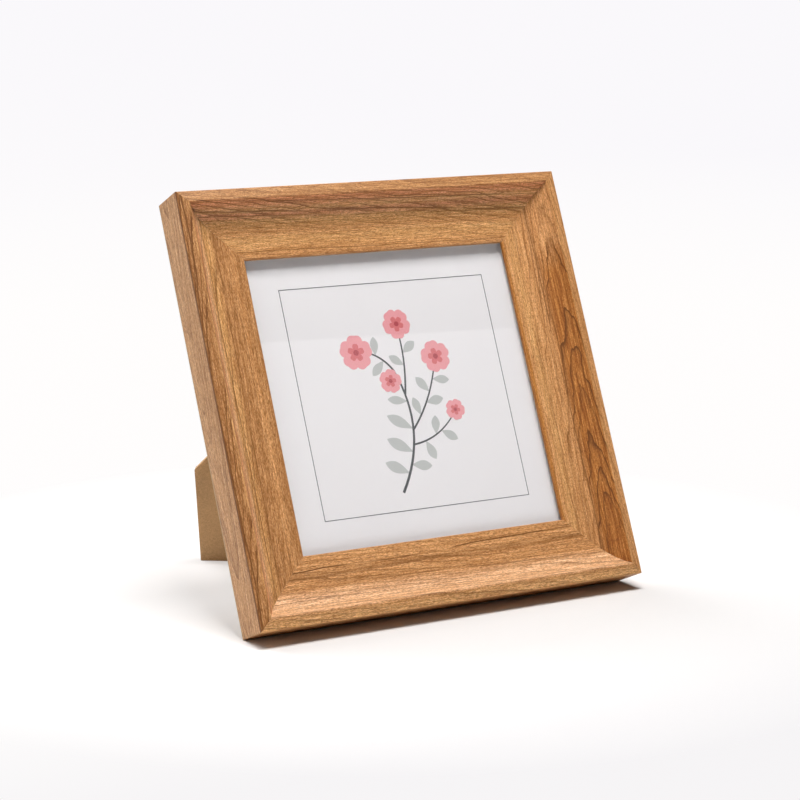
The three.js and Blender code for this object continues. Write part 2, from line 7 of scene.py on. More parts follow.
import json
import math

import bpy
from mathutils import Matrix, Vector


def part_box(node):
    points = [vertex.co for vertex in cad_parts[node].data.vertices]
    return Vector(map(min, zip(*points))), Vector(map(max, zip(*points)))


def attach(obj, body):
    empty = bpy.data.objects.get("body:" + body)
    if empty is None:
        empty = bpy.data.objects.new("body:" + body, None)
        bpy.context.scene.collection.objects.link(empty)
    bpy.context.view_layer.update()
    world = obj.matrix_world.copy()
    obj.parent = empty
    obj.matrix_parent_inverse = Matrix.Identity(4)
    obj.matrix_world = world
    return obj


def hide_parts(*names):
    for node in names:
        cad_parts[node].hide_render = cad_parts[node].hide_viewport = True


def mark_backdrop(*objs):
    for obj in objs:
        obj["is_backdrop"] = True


bl_info = {
    "name": "Coved Photo Frame",
    "version": (1, 0, 0),
    "blender": (4, 5, 0),
    "location": "3D View > Sidebar > Photo Frame",
    "description": "Square photo frame of coved moulding, with its print, strut and fittings",
    "category": "Add Mesh",
}

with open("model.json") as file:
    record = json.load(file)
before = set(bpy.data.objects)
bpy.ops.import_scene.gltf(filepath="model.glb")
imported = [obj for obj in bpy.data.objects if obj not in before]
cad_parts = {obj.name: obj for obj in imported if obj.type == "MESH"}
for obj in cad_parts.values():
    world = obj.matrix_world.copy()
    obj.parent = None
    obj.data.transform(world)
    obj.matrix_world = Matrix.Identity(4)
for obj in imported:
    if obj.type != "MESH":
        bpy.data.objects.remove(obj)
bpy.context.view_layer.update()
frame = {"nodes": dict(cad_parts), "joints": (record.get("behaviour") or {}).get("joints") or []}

MM = 0.001
# Points nearer than this are on each other
TOUCHING = 0.001 * MM
QUARTER = math.pi / 2
HALF = math.pi
WHOLE = 2 * math.pi
SIDES = ("bottom", "right", "top", "left")
joints = {joint["name"]: joint for joint in frame["joints"]}


# Sizes and colours that a user would change

def length(name, description, default):
    return bpy.props.FloatProperty(
        name=name, description=description, default=default, unit="LENGTH", precision=4
    )


def angle(name, description, degrees):
    return bpy.props.FloatProperty(
        name=name, description=description, default=math.radians(degrees), unit="ROTATION"
    )


def colour(name, description, default):
    return bpy.props.FloatVectorProperty(
        name=name, description=description, default=default, subtype="COLOR", min=0, max=1
    )


class MouldingSizes(bpy.types.PropertyGroup):
    """Section of the moulding, measured from its outer front corner."""

    side: length("Side", "Outer side of the square frame", 0.175)
    width: length("Width", "Width of a rail", 0.0275)
    depth: length("Depth", "Depth of a rail behind its outer corner", 0.018)
    lip_width: length("Lip width", "Slope from the outer corner to the ridge", 0.0047)
    lip_rise: length("Lip rise", "Height of the ridge above the outer corner", 0.0011)
    cove_radius: length("Cove radius", "Radius of the hollow inside the ridge", 0.0133)
    band_slope: angle("Band slope", "Slope of the band beside the opening", 3.5)
    sight_drop: length("Sight drop", "Drop from the outer corner to the opening's edge", 0.0076)
    sight_wall: length("Sight wall", "Thickness of the wood in front of the glass", 0.002)
    rebate_wall: length("Rebate wall", "Width of the wood beside the rebate", 0.024)
    lip_arris: length("Outer arris", "Rounding of the outer corner", 0.0006)
    ridge_arris: length("Ridge arris", "Rounding of the ridge", 0.00025)
    sight_arris: length("Sight arris", "Rounding of the opening's edge", 0.0007)
    back_arris: length("Back arris", "Rounding of the back corners", 0.0004)
    wrap_end: length("Wrap end", "How far from the back the wrap stops on the outer side", 0.0009)
    mitre_gap: length("Mitre gap", "Gap between two rails at a mitre", 0.00005)
    lean: angle("Lean", "Lean of the frame from upright", 24)


class FittingSizes(bpy.types.PropertyGroup):
    """Strut, hinge, buttons and hanger on the back."""

    leg_turn: angle("Strut turn", "Turn of the folded strut from straight down", 49)
    leg_open: angle("Strut opening", "Swing of the strut from folded to standing", 47.5798)
    leg_width: length("Strut width", "Width of the strut", 0.0605)
    leg_top_width: length("Strut top width", "Width beside the hinge", 0.036)
    leg_length: length("Strut length", "From the pin to the tip of the foot", 0.1420437)
    leg_thickness: length("Strut thickness", "Thickness of the fibreboard", 0.003)
    foot_angle: angle("Foot angle", "Half angle of the strut's point", 45.62)
    hinge_width: length("Hinge width", "Width along the pin", 0.028)
    sheet: length("Hinge sheet", "Thickness of the hinge's steel", 0.0008)
    pin_radius: length("Pin radius", "Radius of the hinge pin", 0.001)
    button_reach: length("Button reach", "From the screw to the middle of the button's tip", 0.011)
    ring_width: length("Ring width", "Width of the hanging ring", 0.02)
    ring_height: length("Ring height", "Height of the hanging ring", 0.016)
    wire: length("Ring wire", "Radius of the ring's wire", 0.0008)


class PrintSettings(bpy.types.PropertyGroup):
    """The sample print behind the glass."""

    border: length("Border side", "Side of the printed border", 0.0947)
    border_shift: length("Border shift", "How far the border sits to the right", 0.00112)
    line: length("Border line", "Width of the border line", 0.0003)
    pink: colour("Pink", "Paler petals", (0.80, 0.33, 0.36))
    rose: colour("Rose", "Deeper petals", (0.66, 0.16, 0.17))
    berry: colour("Berry", "Middles of the blossoms", (0.44, 0.06, 0.075))
    leaf: colour("Leaf", "Printed leaves", (0.50, 0.50, 0.50))
    stem_ink: colour("Stem ink", "Printed stems and border", (0.045, 0.045, 0.05))
    paper: colour("Paper", "Coated paper", (0.865, 0.825, 0.855))


class FinishColours(bpy.types.PropertyGroup):
    """Colours of the wood, fibreboard and metal."""

    wood_light: colour("Wood, light", "Golden stretches of the wrap", (0.74, 0.43, 0.18))
    wood_cream: colour("Wood, cream", "Palest stretches of the wrap", (0.87, 0.54, 0.305))
    wood_tan: colour("Wood, tan", "Middle tone of the wrap", (0.68, 0.365, 0.152))
    wood_brown: colour("Wood, brown", "Brown bands of the wrap", (0.54, 0.28, 0.111))
    wood_heart: colour("Wood, heart", "Dark heartwood of the wrap", (0.54, 0.235, 0.058))
    wood_rose: colour("Wood, rose", "Reddish streaks of the wrap", (0.76, 0.365, 0.18))
    wood_pale: colour("Wood, pale", "Greyish bands of the wrap", (0.56, 0.328, 0.157))
    wood_line: colour("Wood, line", "Pores and growth lines of the wrap", (0.14, 0.045, 0.007))
    core: colour("Core", "Bare fibreboard at the back of the moulding", (0.50, 0.36, 0.22))
    board: colour("Fibreboard", "Face of the strut and the back board", (0.40, 0.235, 0.105))
    card: colour("Card", "Packing card", (0.36, 0.31, 0.25))
    steel: colour("Steel", "Bright steel", (0.62, 0.62, 0.61))
    zinc: colour("Zinc", "Zinc-plated sheet", (0.66, 0.64, 0.58))


class StageSettings(bpy.types.PropertyGroup):
    """Camera, floor and lamps."""

    focal: bpy.props.FloatProperty(
        name="Focal length", description="Lens of the camera", default=106.08, unit="CAMERA"
    )
    azimuth: angle("Azimuth", "How far the camera stands to the left of the front", 29.7319)
    elevation: angle("Elevation", "How far the camera looks down", 10.8147)
    aim: bpy.props.FloatVectorProperty(
        name="Aim", description="Place of the frame's middle in front of the camera",
        default=(0.006219, 0.004994, -0.94454), subtype="TRANSLATION", unit="LENGTH", precision=5,
    )
    top_power: bpy.props.FloatProperty(
        name="Top lamp", description="Power of the lamp above", default=14.8, unit="POWER"
    )
    side_power: bpy.props.FloatProperty(
        name="Side lamp", description="Power of the lamp to the left", default=2.0, unit="POWER"
    )
    back_power: bpy.props.FloatProperty(
        name="Back lamp", description="Power of the lamp behind", default=22.0, unit="POWER"
    )
    room: bpy.props.FloatProperty(
        name="Room", description="Strength of the white room", default=0.06, min=0
    )
    floor: colour("Floor", "Pale floor, as it lights the frame", (0.9, 0.89, 0.885))
    floor_seen: colour("Floor seen", "Pale floor, as it is seen", (0.75, 0.74, 0.735))
    # Painted shade: the floor's white, dimmer towards the camera, where the lamps' light falls off
    backdrop_front: colour("Backdrop, front", "White towards the camera", (0.925, 0.91, 0.92))
    backdrop_near: colour("Backdrop, near", "White behind the frame", (1.0, 0.985, 0.98))
    backdrop_far: colour("Backdrop, far", "White at the edges", (0.955, 0.94, 0.965))


# Places of the leaning frame, its back, the hinge and the hanger

def settings(name):
    return getattr(bpy.context.scene, name)


def about(axis, turn):
    return Matrix.Rotation(turn, 4, axis)


def moved(x, y, z):
    return Matrix.Translation((x, y, z))


def middle(node):
    low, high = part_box(node)
    return (low + high) / 2


# How deep the middle of the glass lies behind the moulding's outer front corner
GLASS_DEPTH = 10.45 * MM


def front_place():
    """From the flat frame to the leaning one."""
    tilt = about("X", QUARTER - settings("moulding").lean)
    return moved(*middle("glass_pane")) @ tilt @ moved(0, 0, GLASS_DEPTH)


def back_place():
    """On the back face, z out of the back."""
    return front_place() @ moved(0, 0, -settings("moulding").depth) @ about("Y", HALF)


def back_turn():
    return back_place().to_3x3().to_4x4()


def joint_place(name):
    return moved(*joints[name]["pos_m"])


def hinge_place():
    """Origin on the pin, x along the folded strut, y along the pin."""
    turn = about("Z", settings("fittings").leg_turn - QUARTER)
    return joint_place("leg_fold") @ back_turn() @ turn


def leg_place():
    return hinge_place() @ about("Y", -settings("fittings").leg_open)


def hanger_place():
    return joint_place("ring_swing") @ back_turn() @ about("Z", -QUARTER)


# Modelling by hand: outlines drawn point by point, then extruded, spun, sawn and cut

def object_mode():
    if bpy.context.object is not None and bpy.context.object.mode != "OBJECT":
        bpy.ops.object.mode_set(mode="OBJECT")


def pick(*objects):
    """Selects only these, the first of them active."""
    object_mode()
    bpy.ops.object.select_all(action="DESELECT")
    for obj in objects:
        obj.select_set(True)
    if objects:
        bpy.context.view_layer.objects.active = objects[0]


def name_piece(obj, name):
    obj.name = name
    obj.data.name = name
    return obj


def draw_outline(name, points, closed=True):
    """Draws an outline, and leaves it in edit mode with all of it selected."""
    pick()
    bpy.ops.mesh.primitive_plane_add(size=MM, location=(0, 0, 0))
    obj = name_piece(bpy.context.object, name)
    bpy.ops.object.mode_set(mode="EDIT")
    bpy.ops.mesh.merge(type="CENTER")
    bpy.ops.transform.translate(value=points[0])
    for start, end in zip(points, points[1:]):
        step = Vector(end) - Vector(start)
        bpy.ops.mesh.extrude_region_move(TRANSFORM_OT_translate={"value": step})
    bpy.ops.mesh.select_all(action="SELECT")
    if closed:
        bpy.ops.mesh.edge_face_add()
    return obj


def face_out():
    bpy.ops.mesh.select_all(action="SELECT")
    bpy.ops.mesh.normals_make_consistent(inside=False)


def extruded(name, points, step):
    obj = draw_outline(name, points)
    bpy.ops.mesh.extrude_region_move(TRANSFORM_OT_translate={"value": step})
    face_out()
    object_mode()
    return obj


def plate(name, points, low, high):
    """An outline of (x, y) points, raised from one height to another."""
    return extruded(name, [(x, y, low) for x, y in points], (0, 0, high - low))


def strip(name, section, start, end):
    """A section of (x, z) points, run along y."""
    return extruded(name, [(x, start, z) for x, z in section], (0, end - start, 0))


def turned(name, profile, steps=40):
    """A profile of (radius, height) points spun round z."""
    obj = draw_outline(name, [(radius, 0, z) for radius, z in profile], closed=False)
    bpy.ops.mesh.spin(steps=steps, angle=WHOLE, center=(0, 0, 0), axis=(0, 0, 1))
    bpy.ops.mesh.select_all(action="SELECT")
    bpy.ops.mesh.remove_doubles(threshold=2 * TOUCHING)
    face_out()
    object_mode()
    return obj


def score(obj, place, normal, **facts):
    """Cuts every face where a plane crosses it."""
    pick(obj)
    bpy.ops.object.mode_set(mode="EDIT")
    bpy.ops.mesh.select_all(action="SELECT")
    bpy.ops.mesh.bisect(plane_co=place, plane_no=normal, threshold=TOUCHING, **facts)
    object_mode()
    return obj


def saw(obj, place, outwards):
    """Cuts off what lies beyond a plane, and closes the cut."""
    return score(obj, place, outwards, use_fill=True, clear_outer=True)


def modify(obj, kind, **facts):
    """Adds a modifier and applies it."""
    pick(obj)
    bpy.ops.object.modifier_add(type=kind)
    modifier = obj.modifiers[-1]
    for name, value in facts.items():
        setattr(modifier, name, value)
    bpy.ops.object.modifier_apply(modifier=modifier.name)
    return obj


def carve(obj, other, operation="DIFFERENCE"):
    """Cuts the other piece from this one, or joins it on."""
    modify(obj, "BOOLEAN", operation=operation, solver="EXACT", object=other)
    bpy.data.objects.remove(other)
    return obj


def soften(obj, width, degrees=50):
    """Rounds the edges that are sharper than this."""
    return modify(
        obj, "BEVEL", width=width, segments=2, limit_method="ANGLE",
        angle_limit=math.radians(degrees), use_clamp_overlap=True,
    )


def smooth(obj, degrees=40):
    """Shades smooth across the edges that are blunter than this."""
    pick(obj)
    bpy.ops.object.shade_smooth_by_angle(angle=math.radians(degrees))
    return obj


def join(name, pieces):
    pick(*pieces)
    if len(pieces) > 1:
        bpy.ops.object.join()
    return name_piece(pieces[0], name)


def copied(obj, name):
    """A copy with its own mesh."""
    pick(obj)
    bpy.ops.object.duplicate(linked=False)
    return name_piece(bpy.context.object, name)


def carry(obj, place):
    """Moves the mesh itself, so that the object stays at the origin."""
    pick(obj)
    obj.matrix_world = place
    bpy.ops.object.transform_apply(location=True, rotation=True, scale=True)
    return obj


def fit(obj, place, body, material, nodes=()):
    """Carries a finished piece to its place, on its body, in its finish."""
    carry(obj, place)
    if material is not None:
        obj.data.materials.clear()
        obj.data.materials.append(material)
    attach(obj, body)
    if nodes:
        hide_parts(*nodes)
    return obj


def refinish(node, material):
    """Gives a CAD node its material."""
    obj = frame["nodes"][node]
    obj.data.materials.clear()
    obj.data.materials.append(material)


def arc(centre_x, centre_y, radius, start, end, steps):
    return [
        (
            centre_x + radius * math.cos(start + (end - start) * step / steps),
            centre_y + radius * math.sin(start + (end - start) * step / steps),
        )
        for step in range(steps + 1)
    ]


def rounded(corners, steps=5):
    """A closed outline through (x, y, radius) corners, each rounded by its own radius."""
    points = []
    for i, (x, y, radius) in enumerate(corners):
        corner = Vector((x, y))
        if radius == 0:
            points.append((x, y))
            continue
        before = Vector(corners[i - 1][:2]) - corner
        after = Vector(corners[(i + 1) % len(corners)][:2]) - corner
        before.normalize()
        after.normalize()
        half = before.angle(after) / 2
        centre = corner + (before + after).normalized() * radius / math.sin(half)
        first = corner + before * radius / math.tan(half) - centre
        last = corner + after * radius / math.tan(half) - centre
        start = math.atan2(first.y, first.x)
        sweep = (math.atan2(last.y, last.x) - start + HALF) % WHOLE - HALF
        points += arc(centre.x, centre.y, radius, start, start + sweep, steps)
    return points


# Materials

class Nodes:
    """Short ways to add nodes to a material or a world."""

    def __init__(self, tree):
        self.tree = tree

    def node(self, kind, inputs=None, **facts):
        node = self.tree.nodes.new(kind)
        for name, value in facts.items():
            setattr(node, name, value)
        for key, value in (inputs or {}).items():
            self.put(node.inputs[key], value)
        return node

    def put(self, socket, value):
        if isinstance(value, bpy.types.NodeSocket):
            self.tree.links.new(value, socket)
        else:
            socket.default_value = value

    def math(self, operation, *values, clamp=False):
        inputs = dict(enumerate(values))
        return self.node("ShaderNodeMath", inputs, operation=operation, use_clamp=clamp).outputs[0]

    def plus(self, value, *others):
        for other in others:
            value = self.math("ADD", value, other)
        return value

    def times(self, a, b):
        return self.math("MULTIPLY", a, b)

    def measure(self, operation, *vectors):
        """Length, dot product or distance of vectors."""
        node = self.node("ShaderNodeVectorMath", dict(enumerate(vectors)), operation=operation)
        return node.outputs["Value"]

    def vector(self, x, y, z):
        return self.node("ShaderNodeCombineXYZ", {"X": x, "Y": y, "Z": z}).outputs[0]

    def noise(self, vector, scale=1.0, detail=2.0, roughness=0.5, distortion=0.0):
        node = self.node("ShaderNodeTexNoise", {
            "Vector": vector, "Scale": scale, "Detail": detail,
            "Roughness": roughness, "Distortion": distortion,
        })
        return node.outputs["Fac"]

    def spread(self, value, low, high, to_low=0.0, to_high=1.0):
        """Maps low..high on to_low..to_high, held within them."""
        node = self.node("ShaderNodeMapRange", {
            "Value": value, "From Min": low, "From Max": high,
            "To Min": to_low, "To Max": to_high,
        })
        return node.outputs[0]

    def ramp(self, value, stops):
        """Colour and alpha between (place, colour) stops."""
        node = self.node("ShaderNodeValToRGB", {"Fac": value})
        points = node.color_ramp.elements
        points[0].position, points[1].position = stops[0][0], stops[-1][0]
        for spot, _ in stops[1:-1]:
            points.new(spot)
        for point, (_, tone) in zip(points, stops):
            point.color = tone
        return node.outputs["Color"], node.outputs["Alpha"]

    def blend(self, share, a, b, mode="MIX"):
        """Colour a turning into b with share. A Mix node's colours are its sockets 6 and 7."""
        inputs = {"Factor": share, 6: a, 7: b}
        return self.node("ShaderNodeMix", inputs, data_type="RGBA", blend_type=mode).outputs[2]


class Recipe(Nodes):
    """One material, and the nodes that make it."""

    def __init__(self, name, roughness=0.5, metallic=0.0, specular=0.5):
        self.material = bpy.data.materials.new(name)
        self.material.use_nodes = True
        super().__init__(self.material.node_tree)
        self.shader = self.tree.nodes["Principled BSDF"]
        self.surface("Roughness", roughness)
        self.surface("Metallic", metallic)
        self.surface("Specular IOR Level", specular)

    def surface(self, socket, value):
        self.put(self.shader.inputs[socket], value)

    def relief(self, height, depth, strength=1.0):
        """A bump of this depth in metres."""
        bump = self.node("ShaderNodeBump", {
            "Height": height, "Distance": depth, "Strength": strength,
        })
        self.surface("Normal", bump.outputs[0])

    def place(self):
        return self.node("ShaderNodeTexCoord").outputs["Object"]

    def speckle(self, scale, low=0.3, high=0.7, **facts):
        """Noise on the object, with low..high spread from nought to one."""
        return self.spread(self.noise(self.place(), scale=scale, **facts), low, high)

    def mix_shaders(self, share, a, b):
        """The whole surface, a turning into b with share."""
        mix = self.node("ShaderNodeMixShader", {0: share, 1: a.outputs[0], 2: b.outputs[0]})
        self.put(self.tree.nodes["Material Output"].inputs["Surface"], mix.outputs[0])


def opaque(rgb):
    return (rgb[0], rgb[1], rgb[2], 1.0)


def toned(rgb, factor, lift=0.0):
    """A colour made darker or paler."""
    return opaque([min(1.0, c * factor + lift) for c in rgb[:3]])


def made(recipe, name=None):
    """The material of a recipe, made once, and named after the recipe where it has no name."""
    name = name or recipe.__name__
    found = bpy.data.materials.get(name)
    return found if found is not None else recipe(name).material


# The figure of the wrap on each rail, in millimetres round the section: the opening's edge is
# at 38, the cove from 49 to the ridge at 64, the outer corner at 69 and the back at 87.
#   number: which noise it shows
#   heart: where the growth lines fold into arches
#   drift, ripple, lean: how far they stray in long and in short waves, and how far they slope
#   plain: how far along the rail they give way to plain grain
#   tones: (place, finish, strength of the growth lines)
#   threads: long dark lines (place, lean, waviness, half width, darkness, how much of it fades)
RIDGE = 64.0
RAMP_LENGTH = 100.0
FIGURES = {
    "bottom": {
        "number": 1, "heart": 112, "drift": 7, "lean": 0.05, "ripple": 1.6, "plain": 100,
        "tones": (
            (37, "wood_brown", 0.2), (38.6, "wood_tan", 0.2), (43, "wood_tan", 0.3),
            (45.3, "wood_brown", 0.3), (47, "wood_tan", 0.3), (51, "wood_tan", 0.2),
            (55, "wood_cream", 0.3), (63.9, "wood_cream", 0.4), (64.1, "wood_tan", 0.3),
            # From 70 to 86 lies the underside, browner than the other rails' outer sides: painted
            # shade, which also darkens the frame's shadow on the floor in front
            (66.5, "wood_light", 0.3), (69, "wood_light", 0.3), (70, "wood_brown", 0.2),
            (86, "wood_brown", 0.2),
        ),
        "threads": (
            (42.4, -0.03, 3.6, 0.4, 1.0, 0.38), (45.4, -0.015, 2.0, 0.7, 0.5, 0.4),
            (51.0, 0.03, 3.0, 0.35, 0.6, 0.45), (58.0, 0.06, 4.0, 0.35, 0.5, 0.45),
        ),
    },
    "right": {
        "number": 2, "heart": 59, "drift": 4, "lean": 0.0, "ripple": 4.2, "plain": 44,
        "tones": (
            (36, "wood_heart", 0), (38.2, "wood_heart", 0.1), (38.8, "wood_tan", 0.1),
            (42, "wood_light", 0.1), (46, "wood_tan", 0.3), (51.5, "wood_tan", 0.4),
            (55, "wood_heart", 1), (63.9, "wood_heart", 1), (64.1, "wood_tan", 0.3),
            (68.5, "wood_tan", 0.2), (70, "wood_tan", 0.2), (86, "wood_tan", 0.2),
        ),
        "threads": (
            (52.0, -0.012, 1.6, 0.45, 0.7, 0.36), (53.6, -0.02, 2.0, 0.4, 0.6, 0.42),
            (49.4, 0.01, 2.0, 0.35, 0.6, 0.42), (44.0, 0.0, 3.0, 0.35, 0.5, 0.45),
        ),
    },
    "top": {
        "number": 3, "heart": 104, "drift": 8, "lean": -0.05, "ripple": 2.2, "plain": 100,
        "tones": (
            (37, "wood_brown", 0.2), (38.6, "wood_tan", 0.2), (45, "wood_light", 0.2),
            (48, "wood_tan", 0.3), (53, "wood_light", 0.3), (56, "wood_rose", 0.4),
            (58, "wood_light", 0.4), (61, "wood_rose", 0.5), (62.8, "wood_rose", 0.5),
            (63.9, "wood_brown", 0.7), (64.1, "wood_brown", 0.3), (68.5, "wood_brown", 0.3),
            (70, "wood_tan", 0.2), (86, "wood_tan", 0.2),
        ),
        "threads": (
            (54.8, 0.04, 3.2, 0.45, 0.8, 0.4), (53.4, 0.03, 3.2, 0.35, 0.6, 0.44),
            (60.0, 0.03, 4.0, 0.4, 0.8, 0.42), (40.0, 0.01, 2.0, 0.35, 0.6, 0.45),
        ),
    },
    "left": {
        "number": 4, "heart": 80, "drift": 6, "lean": 0.0, "ripple": 2.2, "plain": 100,
        "tones": (
            (37, "wood_brown", 0.1), (41, "wood_brown", 0.1), (43, "wood_tan", 0.1),
            (46, "wood_brown", 0.2), (50, "wood_brown", 0.3), (52.5, "wood_light", 0.3),
            (54.8, "wood_light", 0.4), (57, "wood_cream", 0.3), (60, "wood_rose", 0.4),
            (63.9, "wood_light", 0.3), (64.1, "wood_brown", 0.6), (66, "wood_brown", 0.7),
            (68.4, "wood_brown", 0.9), (69.6, "wood_pale", 0.3), (86, "wood_pale", 0.3),
        ),
        "threads": (
            (68.7, 0.0, 1.0, 0.8, 1.0, 0.1), (67.2, 0.006, 4.0, 0.5, 0.9, 0.36),
            (54.4, -0.012, 2.4, 0.35, 0.8, 0.38), (56.4, -0.006, 2.0, 0.3, 0.6, 0.44),
            (50.0, 0.01, 2.0, 0.4, 0.5, 0.42), (44.0, 0.0, 2.0, 0.35, 0.5, 0.45),
        ),
    },
}


def wood_wrap(side):
    """Printed wood-grain wrap of one rail: streaked tones, growth lines, fibres and flecks."""
    def recipe(name):
        tones = settings("finishes")
        figure = FIGURES[side]
        r = Recipe(name, roughness=0.46, specular=0.32)
        place = r.node("ShaderNodeAttribute", attribute_name="grain").outputs["Vector"]
        parts = r.node("ShaderNodeSeparateXYZ", {"Vector": place})
        along = r.times(parts.outputs[0], 1 / MM)
        across = r.times(parts.outputs[1], 1 / MM)
        rail_step = 7.3

        def noise(length_mm, width_mm, shift, sideways=across, **facts):
            return r.noise(r.vector(
                r.math("DIVIDE", along, length_mm),
                r.math("DIVIDE", sideways, width_mm),
                figure["number"] * rail_step + shift,
            ), **facts)

        def swing(value, reach):
            """A noise turned into a swing on both sides of nought."""
            return r.times(r.math("SUBTRACT", value, 0.5), reach)

        def share(value, part):
            return r.math("MULTIPLY", value, part, clamp=True)

        def lack(value, part):
            return share(r.math("SUBTRACT", 1.0, value), part)

        # The lay of the grain, nearly straight, and the growth lines that fold at the heart
        fold_round, arch_slope, year_width = 3.0, 0.13, 2.5
        drift = swing(noise(75, 26, 3.1, detail=2, roughness=0.4), figure["drift"])
        leaning = r.times(along, figure["lean"])
        lay = r.plus(r.math("SUBTRACT", across, figure["heart"]), r.plus(drift, leaning))
        fold = r.math("SQRT", r.plus(r.math("POWER", lay, 2.0), fold_round ** 2))
        ripple = swing(noise(18, 6, 9.2, detail=2), figure["ripple"])
        fold = r.plus(fold, r.times(along, arch_slope), ripple)
        straight = r.plus(across, r.times(drift, 0.4))

        def comb(length_mm, width_mm, shift, low=0.36, high=0.64, **facts):
            """Noise that runs with the fibres, as a share from nought to one."""
            return r.spread(noise(length_mm, width_mm, shift, straight, **facts), low, high)

        crowding = swing(noise(90, 6, 15.1, fold, detail=1), 3.0)
        jag = swing(noise(5, 1.2, 7.7, detail=2, roughness=0.6), 0.28)
        year = r.math("FRACT", r.plus(r.math("DIVIDE", fold, year_width), r.plus(crowding, jag)))
        late = r.times(r.math("POWER", year, 7.0), r.spread(year, 0.95, 1.0, 2.2, 0.0))
        strong = r.spread(noise(45, 2.2, 4.4, fold, detail=2), 0.4, 0.56, 0.3, 1.0)

        # The tones round the section, which wander along the rail but not at the ridge
        wander = swing(noise(80, 12, 1.7, detail=2), 3.0)
        ridge_gap = r.math("ABSOLUTE", r.math("SUBTRACT", across, RIDGE))
        wander = r.times(wander, r.spread(ridge_gap, 0.5, 5.0))
        base, strength = r.ramp(r.math("DIVIDE", r.plus(across, wander), RAMP_LENGTH), [
            (spot / RAMP_LENGTH, tuple(getattr(tones, finish)) + (lines,))
            for spot, finish, lines in figure["tones"]
        ])

        # Where the growth lines show, and where they give way to plain grain
        figured = r.spread(strength, 0.4, 1.0)
        reach = r.plus(along, swing(noise(30, 5, 18.2, detail=2), 14.0))
        plain = r.times(figured, r.spread(reach, figure["plain"], figure["plain"] + 14))
        base = r.blend(plain, base, opaque(tones.wood_tan))
        figured = r.math("SUBTRACT", figured, plain)
        strength = r.math("SUBTRACT", strength, share(plain, 0.75))
        strength = share(r.times(strength, strong), 1.6)
        lines = r.times(late, strength)
        for number, (spot, lean, waviness, width, darkness, gaps) in enumerate(figure["threads"]):
            waves = swing(noise(38, 200, 20.5 + number, detail=3, roughness=0.45), waviness)
            course = r.plus(r.times(along, lean), spot, waves)
            gap = r.math("ABSOLUTE", r.math("SUBTRACT", across, course))
            thread = r.spread(gap, 0.3 * width, width, darkness, 0.0)
            shown = r.spread(noise(30, 200, 30.5 + number, detail=2), gaps - 0.06, gaps + 0.06)
            lines = r.math("MAXIMUM", lines, r.times(thread, shown))

        # Fibres of every size, each a stain or a shine on the tones below it
        bands = comb(160, 3.5, 2.9, detail=2)
        streaks = comb(70, 0.8, 5.1, detail=2, roughness=0.6)
        fibres = comb(10, 0.42, 8.8, detail=1)
        flecks = comb(0.7, 0.2, 3.3, 0.41, 0.59, detail=0)
        pores = comb(1.7, 0.23, 12.4, 0.57, 0.65, detail=0)
        stain, shine = (0.6, 0.43, 0.22, 1), (1.26, 1.32, 1.42, 1)
        shade = r.times(r.math("POWER", year, 2.4), strength)
        tone = base
        for amount, filtered in (
            (lack(bands, 0.15), stain),
            (lack(streaks, 0.32), stain), (share(streaks, 0.34), shine),
            (lack(fibres, 0.45), stain), (share(fibres, 0.45), shine),
            (lack(flecks, 0.5), stain), (share(flecks, 0.45), shine),
            (share(shade, 0.35), stain), (r.times(lack(fibres, 0.7), figured), stain),
        ):
            tone = r.blend(amount, tone, filtered, "MULTIPLY")
        dark = opaque(tones.wood_line)
        tone = r.blend(share(pores, 0.55), tone, dark)
        tone = r.blend(share(lines, 0.95), tone, dark)
        r.surface("Base Color", tone)
        height = r.math("SUBTRACT", r.times(fibres, 0.5), r.plus(pores, lines))
        r.relief(height, 0.03 * MM, 0.6)
        r.surface("Roughness", r.spread(fibres, 0.0, 1.0, 0.5, 0.43))
        return r
    return recipe


def fibre_speckle(r, dark, pale, coarse=0.9 * MM):
    """Pressed wood fibres: short pale and dark hairs in every direction."""
    cloud = r.speckle(45, 0.35, 0.65, detail=3)
    hairs = r.speckle(1 / coarse, 0.34, 0.66, detail=4, roughness=0.75, distortion=0.6)
    grit = r.speckle(2.6 / coarse, detail=2, roughness=0.7)
    tone = r.blend(r.times(cloud, 0.35), dark, pale)
    tone = r.blend(r.times(hairs, 0.55), tone, pale)
    tone = r.blend(r.spread(grit, 0.0, 0.4, 0.5, 0.0), tone, toned(dark, 0.45))
    r.surface("Base Color", tone)
    r.relief(r.plus(hairs, grit), 0.05 * MM, 0.5)
    return r


def bare_core(name):
    core = settings("finishes").core
    r = Recipe(name, roughness=0.85, specular=0.2)
    return fibre_speckle(r, toned(core, 0.8), opaque(core), 0.7 * MM)


def pressed_board(name):
    board = settings("finishes").board
    r = Recipe(name, roughness=0.72, specular=0.3)
    return fibre_speckle(r, toned(board, 0.78), toned(board, 1.5))


def grey_card(name):
    card = settings("finishes").card
    r = Recipe(name, roughness=0.9, specular=0.2)
    return fibre_speckle(r, opaque(card), toned(card, 1.3), 1.5 * MM)


def brushed(name, rgb, roughness):
    """Sheet metal with fine rolling marks and clouded plating."""
    r = Recipe(name, roughness=roughness, metallic=1.0)
    cloud = r.speckle(160, detail=3)
    marks = r.speckle(2600, detail=3, roughness=0.7)
    r.surface("Base Color", r.blend(r.times(cloud, 0.5), opaque(rgb), toned(rgb, 0.8)))
    dulled = r.spread(r.times(cloud, marks), 0.0, 0.6, roughness - 0.07, roughness + 0.1)
    r.surface("Roughness", dulled)
    r.relief(marks, 0.012 * MM, 0.4)
    return r


def bright_steel(name):
    return brushed(name, settings("finishes").steel, 0.3)


def zinc_plate(name):
    return brushed(name, settings("finishes").zinc, 0.36)


